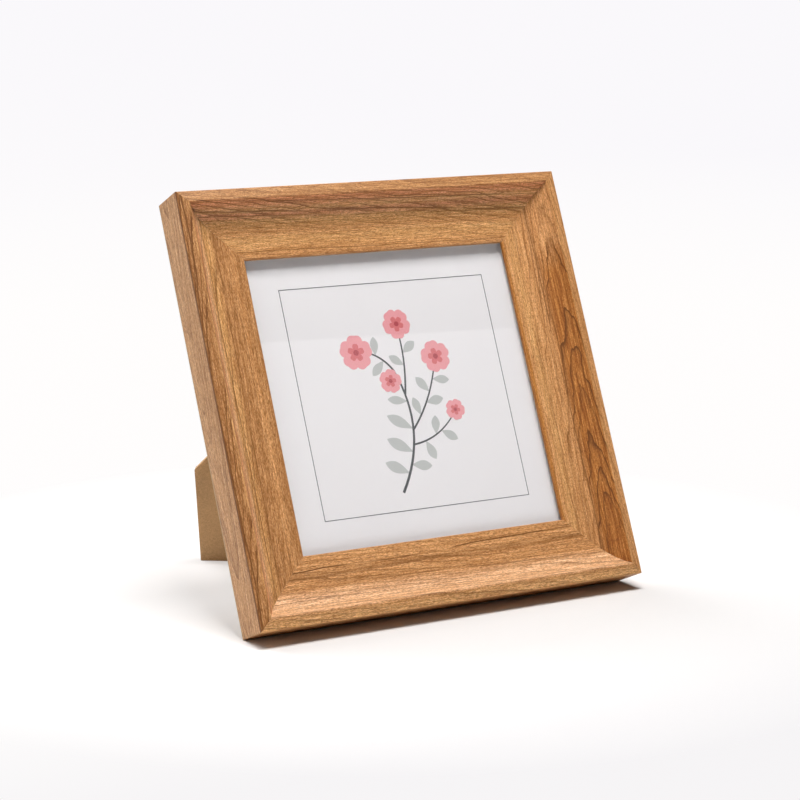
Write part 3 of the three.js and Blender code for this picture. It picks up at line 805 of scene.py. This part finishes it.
def clear_glass(name):
    """Glass that lets the lamps through to the print."""
    r = Recipe(name, roughness=0.0)
    r.surface("Base Color", (0.985, 0.995, 0.99, 1))
    r.surface("Transmission Weight", 1.0)
    r.surface("IOR", 1.5)
    ray = r.node("ShaderNodeLightPath")
    through = r.math("MAXIMUM", ray.outputs["Is Shadow Ray"], ray.outputs["Is Diffuse Ray"])
    clear = r.node("ShaderNodeBsdfTransparent", {"Color": (0.955, 0.965, 0.96, 1)})
    r.mix_shaders(through, r.shader, clear)
    return r


def coated_paper(name):
    paper = settings("print").paper
    r = Recipe(name, roughness=0.55, specular=0.35)
    tooth = r.noise(r.place(), scale=1800, detail=3)
    tone = r.blend(r.spread(tooth, 0.3, 0.7), opaque(paper), toned(paper, 0.985))
    r.surface("Base Color", tone)
    r.relief(tooth, 0.008 * MM, 0.3)
    return r


def ink(tone_name):
    """A printed colour with the fine mottle of offset ink."""
    def recipe(name):
        rgb = getattr(settings("print"), tone_name)
        r = Recipe(name, specular=0.35)
        mottle = r.speckle(2200, detail=3, roughness=0.7)
        tone = r.blend(r.times(mottle, 0.6), opaque(rgb), toned(rgb, 1.1, 0.015))
        r.surface("Base Color", tone)
        return r
    return recipe


# Moulding

def cove_points(m):
    """The hollow from the band up to the ridge, its lower end tangent to the band."""
    outward = Vector((-math.cos(m.band_slope), math.sin(m.band_slope)))
    normal = Vector((math.sin(m.band_slope), math.cos(m.band_slope)))
    ridge = Vector((m.lip_width, m.lip_rise))
    offset = Vector((m.width, -m.sight_drop)) + normal * m.cove_radius
    reach = offset - ridge
    along = outward.dot(reach)
    run = -along - math.sqrt(along * along - reach.length_squared + m.cove_radius ** 2)
    centre = offset + outward * run
    start = math.atan2(ridge.y - centre.y, ridge.x - centre.x) % WHOLE
    end = WHOLE - QUARTER - m.band_slope
    return arc(centre.x, centre.y, m.cove_radius, start, end, 28)[1:]


def moulding_section(m):
    """From the outer back corner inwards along the back, and home over the front."""
    seat = -(m.sight_drop + m.sight_wall)
    corners = [
        (0, -m.depth, m.back_arris),
        (m.rebate_wall, -m.depth, m.back_arris),
        (m.rebate_wall, seat, 0),
        (m.width, seat, m.back_arris),
        (m.width, -m.sight_drop, m.sight_arris),
    ]
    corners += [(x, y, 0) for x, y in reversed(cove_points(m))]
    corners += [(m.lip_width, m.lip_rise, m.ridge_arris), (0, 0, m.lip_arris)]
    corners.append((0, m.wrap_end - m.depth, 0))
    return rounded(corners)


def bottom_rail(m, section):
    """The bottom rail: the section run along the side, and sawn to its mitres."""
    half = m.side / 2
    outline = [(-half, inwards - half, height) for inwards, height in section]
    rail = extruded("rail", outline, (m.side, 0, 0))
    gap = Vector((m.mitre_gap / math.sqrt(2), 0, 0))
    saw(rail, -gap, (1, 1, 0))
    return saw(rail, gap, (-1, 1, 0))


NAIL_INSETS = (8.0 * MM, 16.0 * MM)


def nail_pockets(m):
    """Pockets of the V nails, at both ends of the bottom rail."""
    half_sheet, wing, pocket_depth = 0.36 * MM, 4.56 * MM, 7.1 * MM
    low, high = -m.depth - MM, pocket_depth - m.depth
    outline = [
        (-half_sheet, half_sheet), (-half_sheet, -wing), (half_sheet, -wing),
        (half_sheet, -half_sheet), (wing, -half_sheet), (wing, half_sheet),
    ]
    pockets = []
    for end in (1, -1):
        for inset in NAIL_INSETS:
            place = m.side / 2 - inset
            points = [(end * (x + place), y - place) for x, y in outline]
            pockets.append(plate("pocket", points, low, high))
    return join("pockets", pockets)


def lay_grain(rail, m, section):
    """Keeps on each face corner the place along the rail and the place round its section."""
    half = m.side / 2
    points = [Vector(p) for p in section]
    ends = points[1:] + points[:1]
    starts = [0.0]
    for a, b in zip(points, ends):
        starts.append(starts[-1] + (b - a).length)
    grain = rail.data.attributes.new("grain", "FLOAT_VECTOR", "CORNER")

    def share(spot, a, b):
        run = b - a
        return max(0.0, min(1.0, (spot - a).dot(run) / run.length_squared))

    for face in rail.data.polygons:
        spot = Vector((face.center.y + half, face.center.z))
        gaps = [(a.lerp(b, share(spot, a, b)) - spot).length for a, b in zip(points, ends)]
        i = gaps.index(min(gaps))
        a, b = points[i], ends[i]
        for loop in face.loop_indices:
            corner = rail.data.vertices[rail.data.loops[loop].vertex_index].co
            across = starts[i] + (b - a).length * share(Vector((corner.y + half, corner.z)), a, b)
            grain.data[loop].vector = (corner.x, across, 0)


def bare_faces(rail, m):
    """The second material on what the wrap leaves bare: the back, the rebate and the mitres."""
    half, margin = m.side / 2, 0.05 * MM
    seat = -(m.sight_drop + m.sight_wall)
    for face in rail.data.polygons:
        inwards, height = face.center.y + half, face.center.z
        back = height < m.wrap_end - m.depth
        rebate = height < seat + margin and inwards > m.rebate_wall - margin
        mitre = abs(face.normal.x) > 0.5
        face.material_index = 1 if back or rebate or mitre else 0


class PHOTOFRAME_OT_moulding(bpy.types.Operator):
    """Model the four mitred rails"""

    bl_idname = "photoframe.moulding"
    bl_label = "Moulding"

    def execute(self, context):
        m = context.scene.moulding
        section = moulding_section(m)
        blank = carve(bottom_rail(m, section), nail_pockets(m))
        lay_grain(blank, m, section)
        bare_faces(blank, m)
        for i, side in enumerate(SIDES):
            rail = smooth(copied(blank, f"moulding_{side}"), 28)
            place = front_place() @ about("Z", i * QUARTER)
            fit(rail, place, "frame", None, [f"rail_{side}"])
            rail.data.materials.append(made(wood_wrap(side), f"wood_grain_{side}"))
            rail.data.materials.append(made(bare_core))
        bpy.data.objects.remove(blank)
        return {"FINISHED"}


class PHOTOFRAME_OT_nails(bpy.types.Operator):
    """Finish the V nails that close the mitres"""

    bl_idname = "photoframe.nails"
    bl_label = "V nails"

    def execute(self, context):
        for node in frame["nodes"]:
            if node.startswith("nail_"):
                refinish(node, made(bright_steel))
        return {"FINISHED"}


class PHOTOFRAME_OT_package(bpy.types.Operator):
    """Finish the glass, the print's paper, the packing card and the back board"""

    bl_idname = "photoframe.package"
    bl_label = "Glass, paper and boards"

    def execute(self, context):
        refinish("glass_pane", made(clear_glass))
        refinish("photo_insert", made(coated_paper))
        refinish("packing_card", made(grey_card))
        refinish("back_board", made(pressed_board))
        return {"FINISHED"}


# Print

PRINT_FRONT = -11.3 * MM
INK_LAYER = 0.02 * MM


def printed(name, points, layer):
    """A flat printed shape, a hair above the paper or the shape below it."""
    return plate(name, points, PRINT_FRONT - INK_LAYER, PRINT_FRONT + layer * INK_LAYER)


def curve_points(start, bend, end, steps=16):
    """A stem's line, bent towards one point."""
    a, b, c = Vector(start), Vector(bend), Vector(end)
    return [a.lerp(b, t).lerp(b.lerp(c, t), t) for t in (i / steps for i in range(steps + 1))]


def ribbon(points, start_width, end_width):
    """Outline of a line that narrows from one width to another."""
    left, right = [], []
    last = len(points) - 1
    for i, point in enumerate(points):
        run = (points[min(i + 1, last)] - points[max(i - 1, 0)]).normalized()
        side = Vector((-run.y, run.x)) * (start_width + (end_width - start_width) * i / last) / 2
        left.append(tuple(point + side))
        right.append(tuple(point - side))
    return left + right[::-1]


def leaf_outline(base, tip, width, fullness=0.58):
    """A pointed oval leaf, fullest at a share of its length."""
    base, tip = Vector(base), Vector(tip)
    run = tip - base
    side = Vector((-run.y, run.x)).normalized() * width / 2
    shares = [i / 10 for i in range(11)]
    power = math.log(0.5) / math.log(fullness)
    rise = [math.sin(math.pi * t ** power) ** 0.85 if 0 < t < 1 else 0 for t in shares]
    upper = [tuple(base + run * t + side * w) for t, w in zip(shares, rise)]
    lower = [tuple(base + run * t - side * w) for t, w in zip(shares, rise)]
    return upper + lower[-2:0:-1]


def petal_outline(centre, turn, reach, width):
    """A broad petal with a shallow notch at its end."""
    points, steps = [], 24
    for i in range(steps):
        a = WHOLE * i / steps
        notch = 0.07 * math.exp(-(math.sin(a) / 0.3) ** 2) if math.cos(a) > 0 else 0
        x = reach * (0.5 + 0.5 * math.cos(a)) * (1 - notch)
        y = width / 2 * math.sin(a) * (0.62 + 0.38 * x / reach)
        points.append((
            centre[0] + x * math.cos(turn) - y * math.sin(turn),
            centre[1] + x * math.sin(turn) + y * math.cos(turn),
        ))
    return points


class PHOTOFRAME_OT_artwork(bpy.types.Operator):
    """Print a border and a spray of round blossoms on the paper"""

    bl_idname = "photoframe.artwork"
    bl_label = "Printed spray"

    # Millimetres on the paper: (x, y, reach of a petal, turn in degrees)
    BLOSSOMS = (
        (-17.5, 19.0, 7.6, 14), (3.5, 29.5, 6.6, 50), (18.5, 14.5, 7.0, 30),
        (-4.5, 6.0, 5.2, 5), (22.5, -8.5, 4.6, 62),
    )
    # (start, bend, end, width at the start, width at the end)
    STEMS = (
        ((-9.0, -40.0), (8.0, -16.0), (-2.0, 10.0), 1.15, 0.8),
        ((-2.0, 10.0), (-6.0, 17.0), (-15.0, 19.5), 0.8, 0.6),
        ((0.9, -0.3), (4.5, 14.0), (3.5, 26.0), 0.85, 0.6),
        ((1.3, -15.0), (12.0, -4.0), (17.0, 11.0), 0.85, 0.6),
        ((0.2, -21.0), (12.0, -20.0), (20.5, -11.0), 0.8, 0.55),
        ((-0.1, 4.2), (-3.0, 4.5), (-4.5, 5.5), 0.6, 0.5),
    )
    # (base, tip, width)
    LEAVES = (
        ((-4.3, -32.4), (-14.5, -27.0), 4.6), ((-2.7, -29.0), (6.5, -30.5), 4.2),
        ((-0.7, -24.0), (-11.5, -17.5), 4.8), ((1.4, -14.5), (-9.5, -8.0), 4.6),
        ((6.0, -20.0), (9.0, -28.0), 4.0), ((11.4, -17.9), (12.5, -10.0), 3.8),
        ((14.0, -16.4), (21.0, -20.8), 3.8), ((6.2, -9.3), (4.0, -1.6), 3.6),
        ((9.8, -4.3), (18.0, -3.2), 4.0), ((12.3, 0.0), (7.2, 6.6), 3.9),
        ((14.8, 5.2), (22.6, 4.2), 3.6), ((1.3, -3.0), (-7.6, -1.4), 3.6),
        ((3.2, 12.0), (-3.0, 16.4), 3.6), ((3.6, 17.2), (10.0, 21.6), 4.0),
        ((-5.8, 14.7), (-12.0, 8.8), 3.8), ((-9.0, 17.0), (-8.4, 25.0), 3.6),
    )

    # The ink of each group of shapes
    INKS = {
        "border": "stem_ink", "stems": "stem_ink", "leaves": "leaf",
        "petals_pale": "pink", "petals_deep": "rose", "middles": "berry",
    }

    def border(self, p):
        """Two upright lines, and two level ones a hair above them."""
        half, line = p.border / 2, p.line / 2
        low, high = -half - line, half + line
        strips = []
        for turn in range(4):
            x = -half if turn % 2 else half
            corners = [(x - line, low), (x + line, low), (x + line, high), (x - line, high)]
            if turn > 1:
                corners = [(b, -a) for a, b in corners]
            corners = [(a + p.border_shift, b) for a, b in corners]
            strips.append(printed("line", corners, 1 + turn // 2 * 0.5))
        return strips

    def execute(self, context):
        def mm(*numbers):
            return [number * MM for number in numbers]

        shapes = {group: [] for group in self.INKS}
        shapes["border"] = self.border(context.scene.print)
        for i, (start, bend, end, first, last) in enumerate(self.STEMS):
            line = curve_points(mm(*start), mm(*bend), mm(*end))
            stem = printed("stem", ribbon(line, *mm(first, last)), 2 + 0.1 * i)
            shapes["stems"].append(stem)
        for base, tip, width in self.LEAVES:
            outline = leaf_outline(mm(*base), mm(*tip), width * MM)
            shapes["leaves"].append(printed("leaf", outline, 1))
        for *centre, reach, turn in self.BLOSSOMS:
            centre, reach = mm(*centre), reach * MM
            for petal in range(5):
                a = math.radians(turn + 72 * petal)
                pale = petal_outline(centre, a, reach, reach * 1.12)
                deep = petal_outline(centre, a, reach * 0.52, reach * 0.42)
                shapes["petals_pale"].append(printed("petal", pale, 3 + 0.1 * petal))
                shapes["petals_deep"].append(printed("petal", deep, 4 + 0.1 * petal))
            disc = arc(*centre, reach * 0.16, 0, WHOLE, 20)[:-1]
            shapes["middles"].append(printed("middle", disc, 5))
        for group, tone in self.INKS.items():
            piece = join(f"printed_{group}", shapes[group])
            fit(piece, front_place(), "frame", made(ink(tone), f"ink_{tone}"))
        return {"FINISHED"}


# Fittings. GAP lies between pieces that move on each other; BOARD is the back board's thickness.

GAP = 0.25 * MM
BOARD = 3 * MM


def knuckle_radii(f):
    """Inside and outside of the hinge's sheet where it curls round the pin."""
    inner = f.pin_radius + 0.15 * MM
    return inner, inner + f.sheet


def dome(radius, height, base, steps=8):
    return [(radius * x, base + height * y) for x, y in arc(0, 0, 1, 0, QUARTER, steps)]


def rivet(name, grip):
    """Rivet with its plate's top face at z = 0."""
    shank, tail_radius, head = 1.25 * MM, 1.9 * MM, 2.4 * MM
    tail, tail_dome, edge = -grip, 0.15 * MM, 0.1 * MM
    profile = [(0, tail - tail_dome), (1.2 * MM, tail - tail_dome * 0.8)]
    profile += [(tail_radius, tail - tail_dome * 0.1), (tail_radius, tail + edge)]
    profile += [(shank, tail + 0.6 * MM), (shank, GAP), (head - edge, GAP), (head, GAP + edge)]
    profile += dome(head, 0.9 * MM, GAP + edge)[1:-1] + [(0, GAP + MM)]
    return smooth(turned(name, profile))


def curl(inner, outer, end, opening=75, steps=28):
    """Section of a sheet that curls up round a pin, its plate towards +x."""
    turns = WHOLE - math.radians(opening)
    inside = arc(0, 0, inner, -QUARTER, -QUARTER - turns, steps)
    outside = arc(0, 0, outer, -QUARTER - turns, -QUARTER, steps)
    return [(end, -inner)] + inside + outside + [(end, -outer)]


class PHOTOFRAME_OT_buttons(bpy.types.Operator):
    """Model the turn buttons and their screws"""

    bl_idname = "photoframe.buttons"
    bl_label = "Turn buttons"

    EYE, TIP, HOLE, SHEET = 4.2 * MM, 3.0 * MM, 1.75 * MM, 0.8 * MM
    BEND_AT, LIFT_RUN = 8.0 * MM, 1.0 / 6.0
    # How far each screw's cross has come round, in degrees
    SCREW_TURNS = {"bottom": 17, "right": 71, "top": 38, "left": 55}

    def button(self, reach):
        """Pressed link: round eye on the screw, its tip bent up for a finger."""
        slope = math.asin((self.EYE - self.TIP) / reach)
        outline = arc(0, reach, self.TIP, slope, HALF - slope, 18)
        outline += arc(0, 0, self.EYE, HALF - slope, WHOLE + slope, 28)
        button = plate("button", outline, 0, self.SHEET)
        score(button, (0, self.BEND_AT, 0), (0, 1, 0))
        for vertex in button.data.vertices:
            vertex.select = vertex.co.y > self.BEND_AT + 0.01 * MM
        bpy.ops.object.mode_set(mode="EDIT")
        bpy.ops.mesh.select_mode(type="VERT")
        bpy.ops.transform.rotate(
            value=-math.atan(self.LIFT_RUN), orient_axis="X", center_override=(0, self.BEND_AT, 0)
        )
        object_mode()
        hole = turned("hole", [(0, -MM), (self.HOLE, -MM), (self.HOLE, 2 * MM), (0, 2 * MM)])
        return smooth(soften(carve(button, hole), 0.14 * MM))

    def screw(self):
        """Pan head screw with a cross recess."""
        base = self.SHEET + 2 * GAP
        shank, head, height, rim, edge = 1.5 * MM, 3.0 * MM, 1.7 * MM, 0.4 * MM, 0.15 * MM
        profile = [(0, -8.5 * MM), (shank, -6.5 * MM), (shank, base), (head - edge, base)]
        profile += [(head, base + edge)] + dome(head, height - rim, base + rim)[:-1]
        top, half_slot = base + height, 0.36 * MM
        screw = turned("screw", profile + [(0, top)], 48)
        right = [(0.5 * MM, top - 1.35 * MM), (1.6 * MM, top - MM), (1.75 * MM, top + MM)]
        arm = right + [(-x, z) for x, z in reversed(right)]
        for turn in (0, QUARTER):
            slot = carry(strip("slot", arm, -half_slot, half_slot), about("Z", turn))
            carve(screw, slot)
        return smooth(screw)

    def execute(self, context):
        button = self.button(context.scene.fittings.button_reach)
        screw = self.screw()
        for i, side in enumerate(SIDES):
            place = joint_place(f"turn_{side}") @ back_turn() @ about("Z", -i * QUARTER)
            piece = copied(button, f"button_{side}")
            raised = place @ moved(0, 0, GAP)
            fit(piece, raised, f"button_{side}", made(zinc_plate), [f"turn_button_{side}"])
            piece = copied(screw, f"screw_{side}")
            spun = place @ about("Z", math.radians(self.SCREW_TURNS[side]))
            fit(piece, spun, "frame", made(bright_steel), [f"button_screw_{side}"])
        bpy.data.objects.remove(button)
        bpy.data.objects.remove(screw)
        return {"FINISHED"}


class PHOTOFRAME_OT_strut(bpy.types.Operator):
    """Model the fibreboard strut"""

    bl_idname = "photoframe.strut"
    bl_label = "Strut"

    def execute(self, context):
        f = context.scene.fittings
        inner, outer = knuckle_radii(f)
        start = outer + 2 * GAP
        half, half_top = f.leg_width / 2, f.leg_top_width / 2
        shoulder = f.leg_length - half / math.tan(f.foot_angle)
        corner = 0.6 * MM
        outline = rounded([
            (start, -half_top, corner), (start + half - half_top, -half, corner),
            (shoulder, -half, corner), (f.leg_length, 0, 0), (shoulder, half, corner),
            (start + half - half_top, half, corner), (start, half_top, corner),
        ])
        face = GAP - inner
        leg = plate("strut", outline, face, face + f.leg_thickness)
        smooth(soften(leg, 0.12 * MM, 40))
        fit(leg, leg_place(), "leg", made(pressed_board), ["strut_leg"])
        return {"FINISHED"}


class PHOTOFRAME_OT_hinge(bpy.types.Operator):
    """Model the two hinge halves, the pin and the rivets"""

    bl_idname = "photoframe.hinge"
    bl_label = "Hinge"

    # Half the middle knuckle, the gap beside it, and the two halves' reach from the pin
    MIDDLE_HALF, SLIT = 6.0 * MM, 0.35 * MM
    BASE_REACH, LEAF_REACH = 22 * MM, 19 * MM
    # Places of the rivets, along the plates and to both sides
    BASE_RIVETS, LEAF_RIVETS, RIVET_SIDE = -16 * MM, 13 * MM, 7 * MM

    def hinge_half(self, name, f, reach, knuckles):
        """Flat plate with rounded far corners, curled up round the pin at its knuckles."""
        inner, outer = knuckle_radii(f)
        start, half, corner = outer + self.SLIT, f.hinge_width / 2, 2.5 * MM
        outline = rounded([
            (start, -half, 0), (reach, -half, corner), (reach, half, corner), (start, half, 0),
        ])
        piece = plate(name, outline, -outer, -inner)
        for low, high in knuckles:
            section = curl(inner, outer, start + MM)
            carve(piece, strip("knuckle", section, low, high), "UNION")
        return piece

    def lug(self, f):
        """Tab on the leaf that lands on the base plate and stops the strut."""
        inner, outer = knuckle_radii(f)
        root, end, half, corner = -(inner + outer) / 2, -outer - 5 * MM, 4.5 * MM, 0.8 * MM
        outline = [(end, -half, corner), (root, -half, 0), (root, half, 0), (end, half, corner)]
        lug = plate("lug", rounded(outline), GAP - inner, GAP - inner + f.sheet)
        return carry(lug, about("Y", f.leg_open))

    def pin(self, f):
        """Pin along y, with a low head at both ends."""
        end = f.hinge_width / 2 + self.SLIT
        head = ((0, 0.8), (0.9, 0.75), (1.45, 0.5), (1.6, 0.3), (1.6, 0))
        profile = [(radius * MM, -end - height * MM) for radius, height in head]
        profile += [(f.pin_radius, -end)]
        profile += [(radius, -height) for radius, height in reversed(profile)]
        pin = carry(smooth(turned("pin", profile, 32)), about("X", QUARTER))
        return name_piece(pin, "pin_rod")

    def execute(self, context):
        f = context.scene.fittings
        steel = made(bright_steel)
        inner, _ = knuckle_radii(f)
        half, slit = f.hinge_width / 2, self.MIDDLE_HALF + self.SLIT
        base = self.hinge_half("hinge_plate", f, self.BASE_REACH, [(-half, -slit), (slit, half)])
        smooth(soften(base, 0.1 * MM))
        knuckle = [(-self.MIDDLE_HALF, self.MIDDLE_HALF)]
        leaf = self.hinge_half("hinge_leaf_plate", f, self.LEAF_REACH, knuckle)
        smooth(soften(carve(leaf, self.lug(f), "UNION"), 0.1 * MM))
        facing = hinge_place() @ about("Z", HALF)
        fit(base, facing, "frame", steel, ["hinge_base"])
        fit(leaf, leg_place(), "leg", steel, ["hinge_leaf"])
        fit(self.pin(f), hinge_place(), "frame", steel, ["hinge_pin"])

        for name, side in (("right", -self.RIVET_SIDE), ("left", self.RIVET_SIDE)):
            piece = rivet(f"board_rivet_{name}", f.sheet + GAP + BOARD)
            place = hinge_place() @ moved(self.BASE_RIVETS, side, -inner)
            fit(piece, place, "frame", steel, [f"base_rivet_{name}"])
            piece = rivet(f"strut_rivet_{name}", f.leg_thickness + GAP + f.sheet)
            place = leg_place() @ moved(self.LEAF_RIVETS, side, GAP - inner + f.leg_thickness)
            fit(piece, place, "leg", steel, [f"leg_rivet_{name}"])
        return {"FINISHED"}


class PHOTOFRAME_OT_hanger(bpy.types.Operator):
    """Model the hanging ring, its strap and its rivet"""

    bl_idname = "photoframe.hanger"
    bl_label = "Hanger"

    SHEET, RIVET_AT = 0.6 * MM, 6 * MM

    def strap(self, inner, outer):
        """Tongue with a round end, curled round the ring's wire."""
        half = 4.0 * MM
        strap = strip("strap", curl(inner, outer, self.RIVET_AT), -half, half)
        tongue = arc(self.RIVET_AT, 0, half, -QUARTER, QUARTER, 18) + [(MM, half), (MM, -half)]
        carve(strap, plate("tongue", tongue, -outer, -inner), "UNION")
        return name_piece(smooth(soften(strap, 0.08 * MM)), "strap_tongue")

    def ring(self, f):
        """Bent wire triangle whose ends meet inside the loop."""
        half, height = f.ring_width / 2 - f.wire, f.ring_height - f.wire
        half_gap, bend = 0.3 * MM, 2.2 * MM
        stops = ((0, half_gap), (0, half), (height, 0), (0, -half), (0, -half_gap))
        stops = [Vector((x, y, 0)) for x, y in stops]
        points = [stops[0]]
        for before, corner, after in zip(stops, stops[1:], stops[2:]):
            first = corner + (before - corner).normalized() * bend
            last = corner + (after - corner).normalized() * bend
            points += curve_points(first, corner, last, 8)
        points.append(stops[-1])
        ring = draw_outline("ring", [tuple(p) for p in points], closed=False)
        object_mode()
        pick(ring)
        bpy.ops.object.convert(target="CURVE")
        ring = bpy.context.object
        ring.data.bevel_depth = f.wire
        ring.data.bevel_resolution = 5
        ring.data.use_fill_caps = True
        bpy.ops.object.convert(target="MESH")
        return name_piece(smooth(bpy.context.object, 50), "ring_wire")

    def execute(self, context):
        f = context.scene.fittings
        steel = made(bright_steel)
        inner = f.wire + 0.2 * MM
        strap = self.strap(inner, inner + self.SHEET)
        fit(strap, hanger_place(), "frame", made(zinc_plate), ["hanger_strap"])
        piece = rivet("strap_rivet", self.SHEET + GAP + BOARD)
        place = hanger_place() @ moved(self.RIVET_AT, 0, -inner)
        fit(piece, place, "frame", steel, ["hanger_rivet"])
        plumb = hanger_place() @ about("Y", -context.scene.moulding.lean)
        fit(self.ring(f), plumb, "ring", steel, ["hanger_ring"])
        return {"FINISHED"}


# Stage

def seen_rays(r):
    """One for what the camera sees, also in metal and glass, and nought for what lights."""
    ray = r.node("ShaderNodeLightPath")
    passed = r.math("MAXIMUM", ray.outputs["Is Glossy Ray"], ray.outputs["Is Transmission Ray"])
    seen = r.math("MAXIMUM", ray.outputs["Is Camera Ray"], passed)
    return r.times(seen, r.math("LESS_THAN", ray.outputs["Diffuse Depth"], 0.5))


def pale_floor(name):
    """White where it is seen, with the frame's shadow on it, paled behind the frame by painted
    light and dimmed towards the camera by painted shade; far off it is as white as a wall.
    """
    r = Recipe(name)
    s = settings("stage")
    seen = seen_rays(r)
    place = r.place()
    away = r.measure("LENGTH", place)
    forward = r.times(r.node("ShaderNodeSeparateXYZ", {"Vector": place}).outputs[1], -1.0)
    matt = r.blend(seen, opaque(s.floor), opaque(s.floor_seen))
    matt = r.node("ShaderNodeBsdfDiffuse", {"Color": matt})
    # Painted shade: towards the camera the white dims, as the lamps' light falls off there
    tone = r.spread(forward, 0.08, 0.2)
    tone = r.blend(tone, opaque(s.backdrop_near), opaque(s.backdrop_front))
    tone = r.blend(r.spread(away, 0.8, 2.2), tone, opaque(s.backdrop_far))
    white = r.node("ShaderNodeEmission", {"Color": tone, "Strength": 1.0})
    # Far off the floor glows white for the eye; behind the frame it glows up to 0.4 too, painted
    # light that pales the frame's shadow there
    glow_and_painted_fill = r.math("MAXIMUM", r.spread(away, 0.11, 0.24), r.spread(forward, 0.05, 0.0, 0.0, 0.4))
    r.mix_shaders(r.times(seen, glow_and_painted_fill), matt, white)
    return r


# Painted reflection: the plane through the upper edge of a white card to the right and the frame.
# No card is modelled and it adds no light to matt surfaces; only glass and metal mirror it
PAINTED_REFLECTION_EDGE = (0.02736, 0.61939, 0.78461)


def white_room(s):
    """A soft room: white to the eye, with a painted reflection of a card, which glass and metal
    mirror below its edge.
    """
    world = bpy.data.worlds.new("white_room")
    world.use_nodes = True
    r = Nodes(world.node_tree)
    backdrop = world.node_tree.nodes["Background"]
    ray = r.node("ShaderNodeLightPath")
    # Painted reflection: glass and metal see the room at 0.7 below the card's edge and 0.1 above
    # it, though it lights only at the room's strength
    edge_blur, below, above = 0.0006, 0.7, 0.1
    height = r.measure("DOT_PRODUCT", r.node("ShaderNodeTexCoord").outputs["Generated"], PAINTED_REFLECTION_EDGE)
    mirrored = r.spread(height, -edge_blur, edge_blur, below, above)
    mirrored = r.math("MAXIMUM", mirrored, ray.outputs["Is Camera Ray"])
    strength = r.math("MAXIMUM", s.room, r.times(seen_rays(r), mirrored))
    r.put(backdrop.inputs["Color"], opaque(s.backdrop_far))
    r.put(backdrop.inputs["Strength"], strength)
    return world


class PHOTOFRAME_OT_stage(bpy.types.Operator):
    """Set up the floor, the backdrop, the lamps and the camera"""

    bl_idname = "photoframe.stage"
    bl_label = "Stage"

    def sweep(self):
        """Floor that curves up into a backdrop."""
        profile = [(-3.0, 0.0)] + arc(1.6, 0.8, 0.8, -QUARTER, 0, 24) + [(2.4, 3.0)]
        floor = draw_outline("floor", [(-4.0, y, z) for y, z in profile], closed=False)
        bpy.ops.mesh.extrude_region_move(TRANSFORM_OT_translate={"value": (8.0, 0, 0)})
        face_out()
        smooth(floor)
        floor.data.materials.append(made(pale_floor))
        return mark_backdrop(floor)

    def lamp(self, name, place, aim, width, height, power, tone=(1, 1, 1)):
        pick()
        bpy.ops.object.light_add(type="AREA", location=place)
        lamp = name_piece(bpy.context.object, name)
        lamp.rotation_euler = (Vector(aim) - Vector(place)).to_track_quat("-Z", "Y").to_euler()
        lamp.data.shape = "RECTANGLE"
        lamp.data.size = width
        lamp.data.size_y = height
        lamp.data.energy = power
        lamp.data.color = tone

    def camera(self, s):
        """Where the frame's middle comes out at the aim, seen from the azimuth and elevation."""
        front = front_place().to_translation()
        turn = Matrix.Rotation(-s.azimuth, 3, "Z") @ Matrix.Rotation(QUARTER - s.elevation, 3, "X")
        place = front - turn @ Vector(s.aim)
        pick()
        bpy.ops.object.camera_add(location=place, rotation=turn.to_euler())
        camera = bpy.context.object
        camera.data.lens = s.focal
        camera.data.sensor_width = 36
        camera.data.clip_end = 20
        bpy.context.scene.camera = camera

    def execute(self, context):
        s = context.scene.stage
        self.sweep()
        target = (0, 0, 0.08)
        self.lamp("top_lamp", (0.0, -0.2, 1.15), target, 0.42, 0.42, s.top_power, (1, 0.99, 0.98))
        self.lamp("side_lamp", (-1.3, -0.4, 0.7), target, 0.9, 0.9, s.side_power)
        self.lamp("back_lamp", (-0.5, 1.0, 1.0), target, 1.2, 1.0, s.back_power)
        context.scene.world = white_room(s)
        self.camera(s)
        context.scene.view_settings.view_transform = "Standard"
        return {"FINISHED"}


class PHOTOFRAME_PT_panel(bpy.types.Panel):
    """Sizes, colours and steps of the photo frame"""

    bl_label = "Photo Frame"
    bl_idname = "PHOTOFRAME_PT_panel"
    bl_space_type = "VIEW_3D"
    bl_region_type = "UI"
    bl_category = "Photo Frame"

    def draw(self, context):
        for name, group in GROUPS.items():
            box = self.layout.box()
            box.label(text=name.capitalize())
            for setting in group.__annotations__:
                box.prop(getattr(context.scene, name), setting)
        for step in STEPS:
            self.layout.operator(step.bl_idname)


GROUPS = {
    "moulding": MouldingSizes,
    "fittings": FittingSizes,
    "print": PrintSettings,
    "finishes": FinishColours,
    "stage": StageSettings,
}
STEPS = (
    PHOTOFRAME_OT_moulding,
    PHOTOFRAME_OT_nails,
    PHOTOFRAME_OT_package,
    PHOTOFRAME_OT_artwork,
    PHOTOFRAME_OT_buttons,
    PHOTOFRAME_OT_strut,
    PHOTOFRAME_OT_hinge,
    PHOTOFRAME_OT_hanger,
    PHOTOFRAME_OT_stage,
)


def register():
    for name, group in GROUPS.items():
        bpy.utils.register_class(group)
        setattr(bpy.types.Scene, name, bpy.props.PointerProperty(type=group))
    for step in STEPS:
        bpy.utils.register_class(step)
    bpy.utils.register_class(PHOTOFRAME_PT_panel)


def unregister():
    bpy.utils.unregister_class(PHOTOFRAME_PT_panel)
    for step in reversed(STEPS):
        bpy.utils.unregister_class(step)
    for name, group in reversed(GROUPS.items()):
        delattr(bpy.types.Scene, name)
        bpy.utils.unregister_class(group)


def main():
    register()
    bpy.ops.photoframe.moulding()
    bpy.ops.photoframe.nails()
    bpy.ops.photoframe.package()
    bpy.ops.photoframe.artwork()
    bpy.ops.photoframe.buttons()
    bpy.ops.photoframe.strut()
    bpy.ops.photoframe.hinge()
    bpy.ops.photoframe.hanger()
    bpy.ops.photoframe.stage()
    object_mode()


if __name__ == "__main__":
    main()
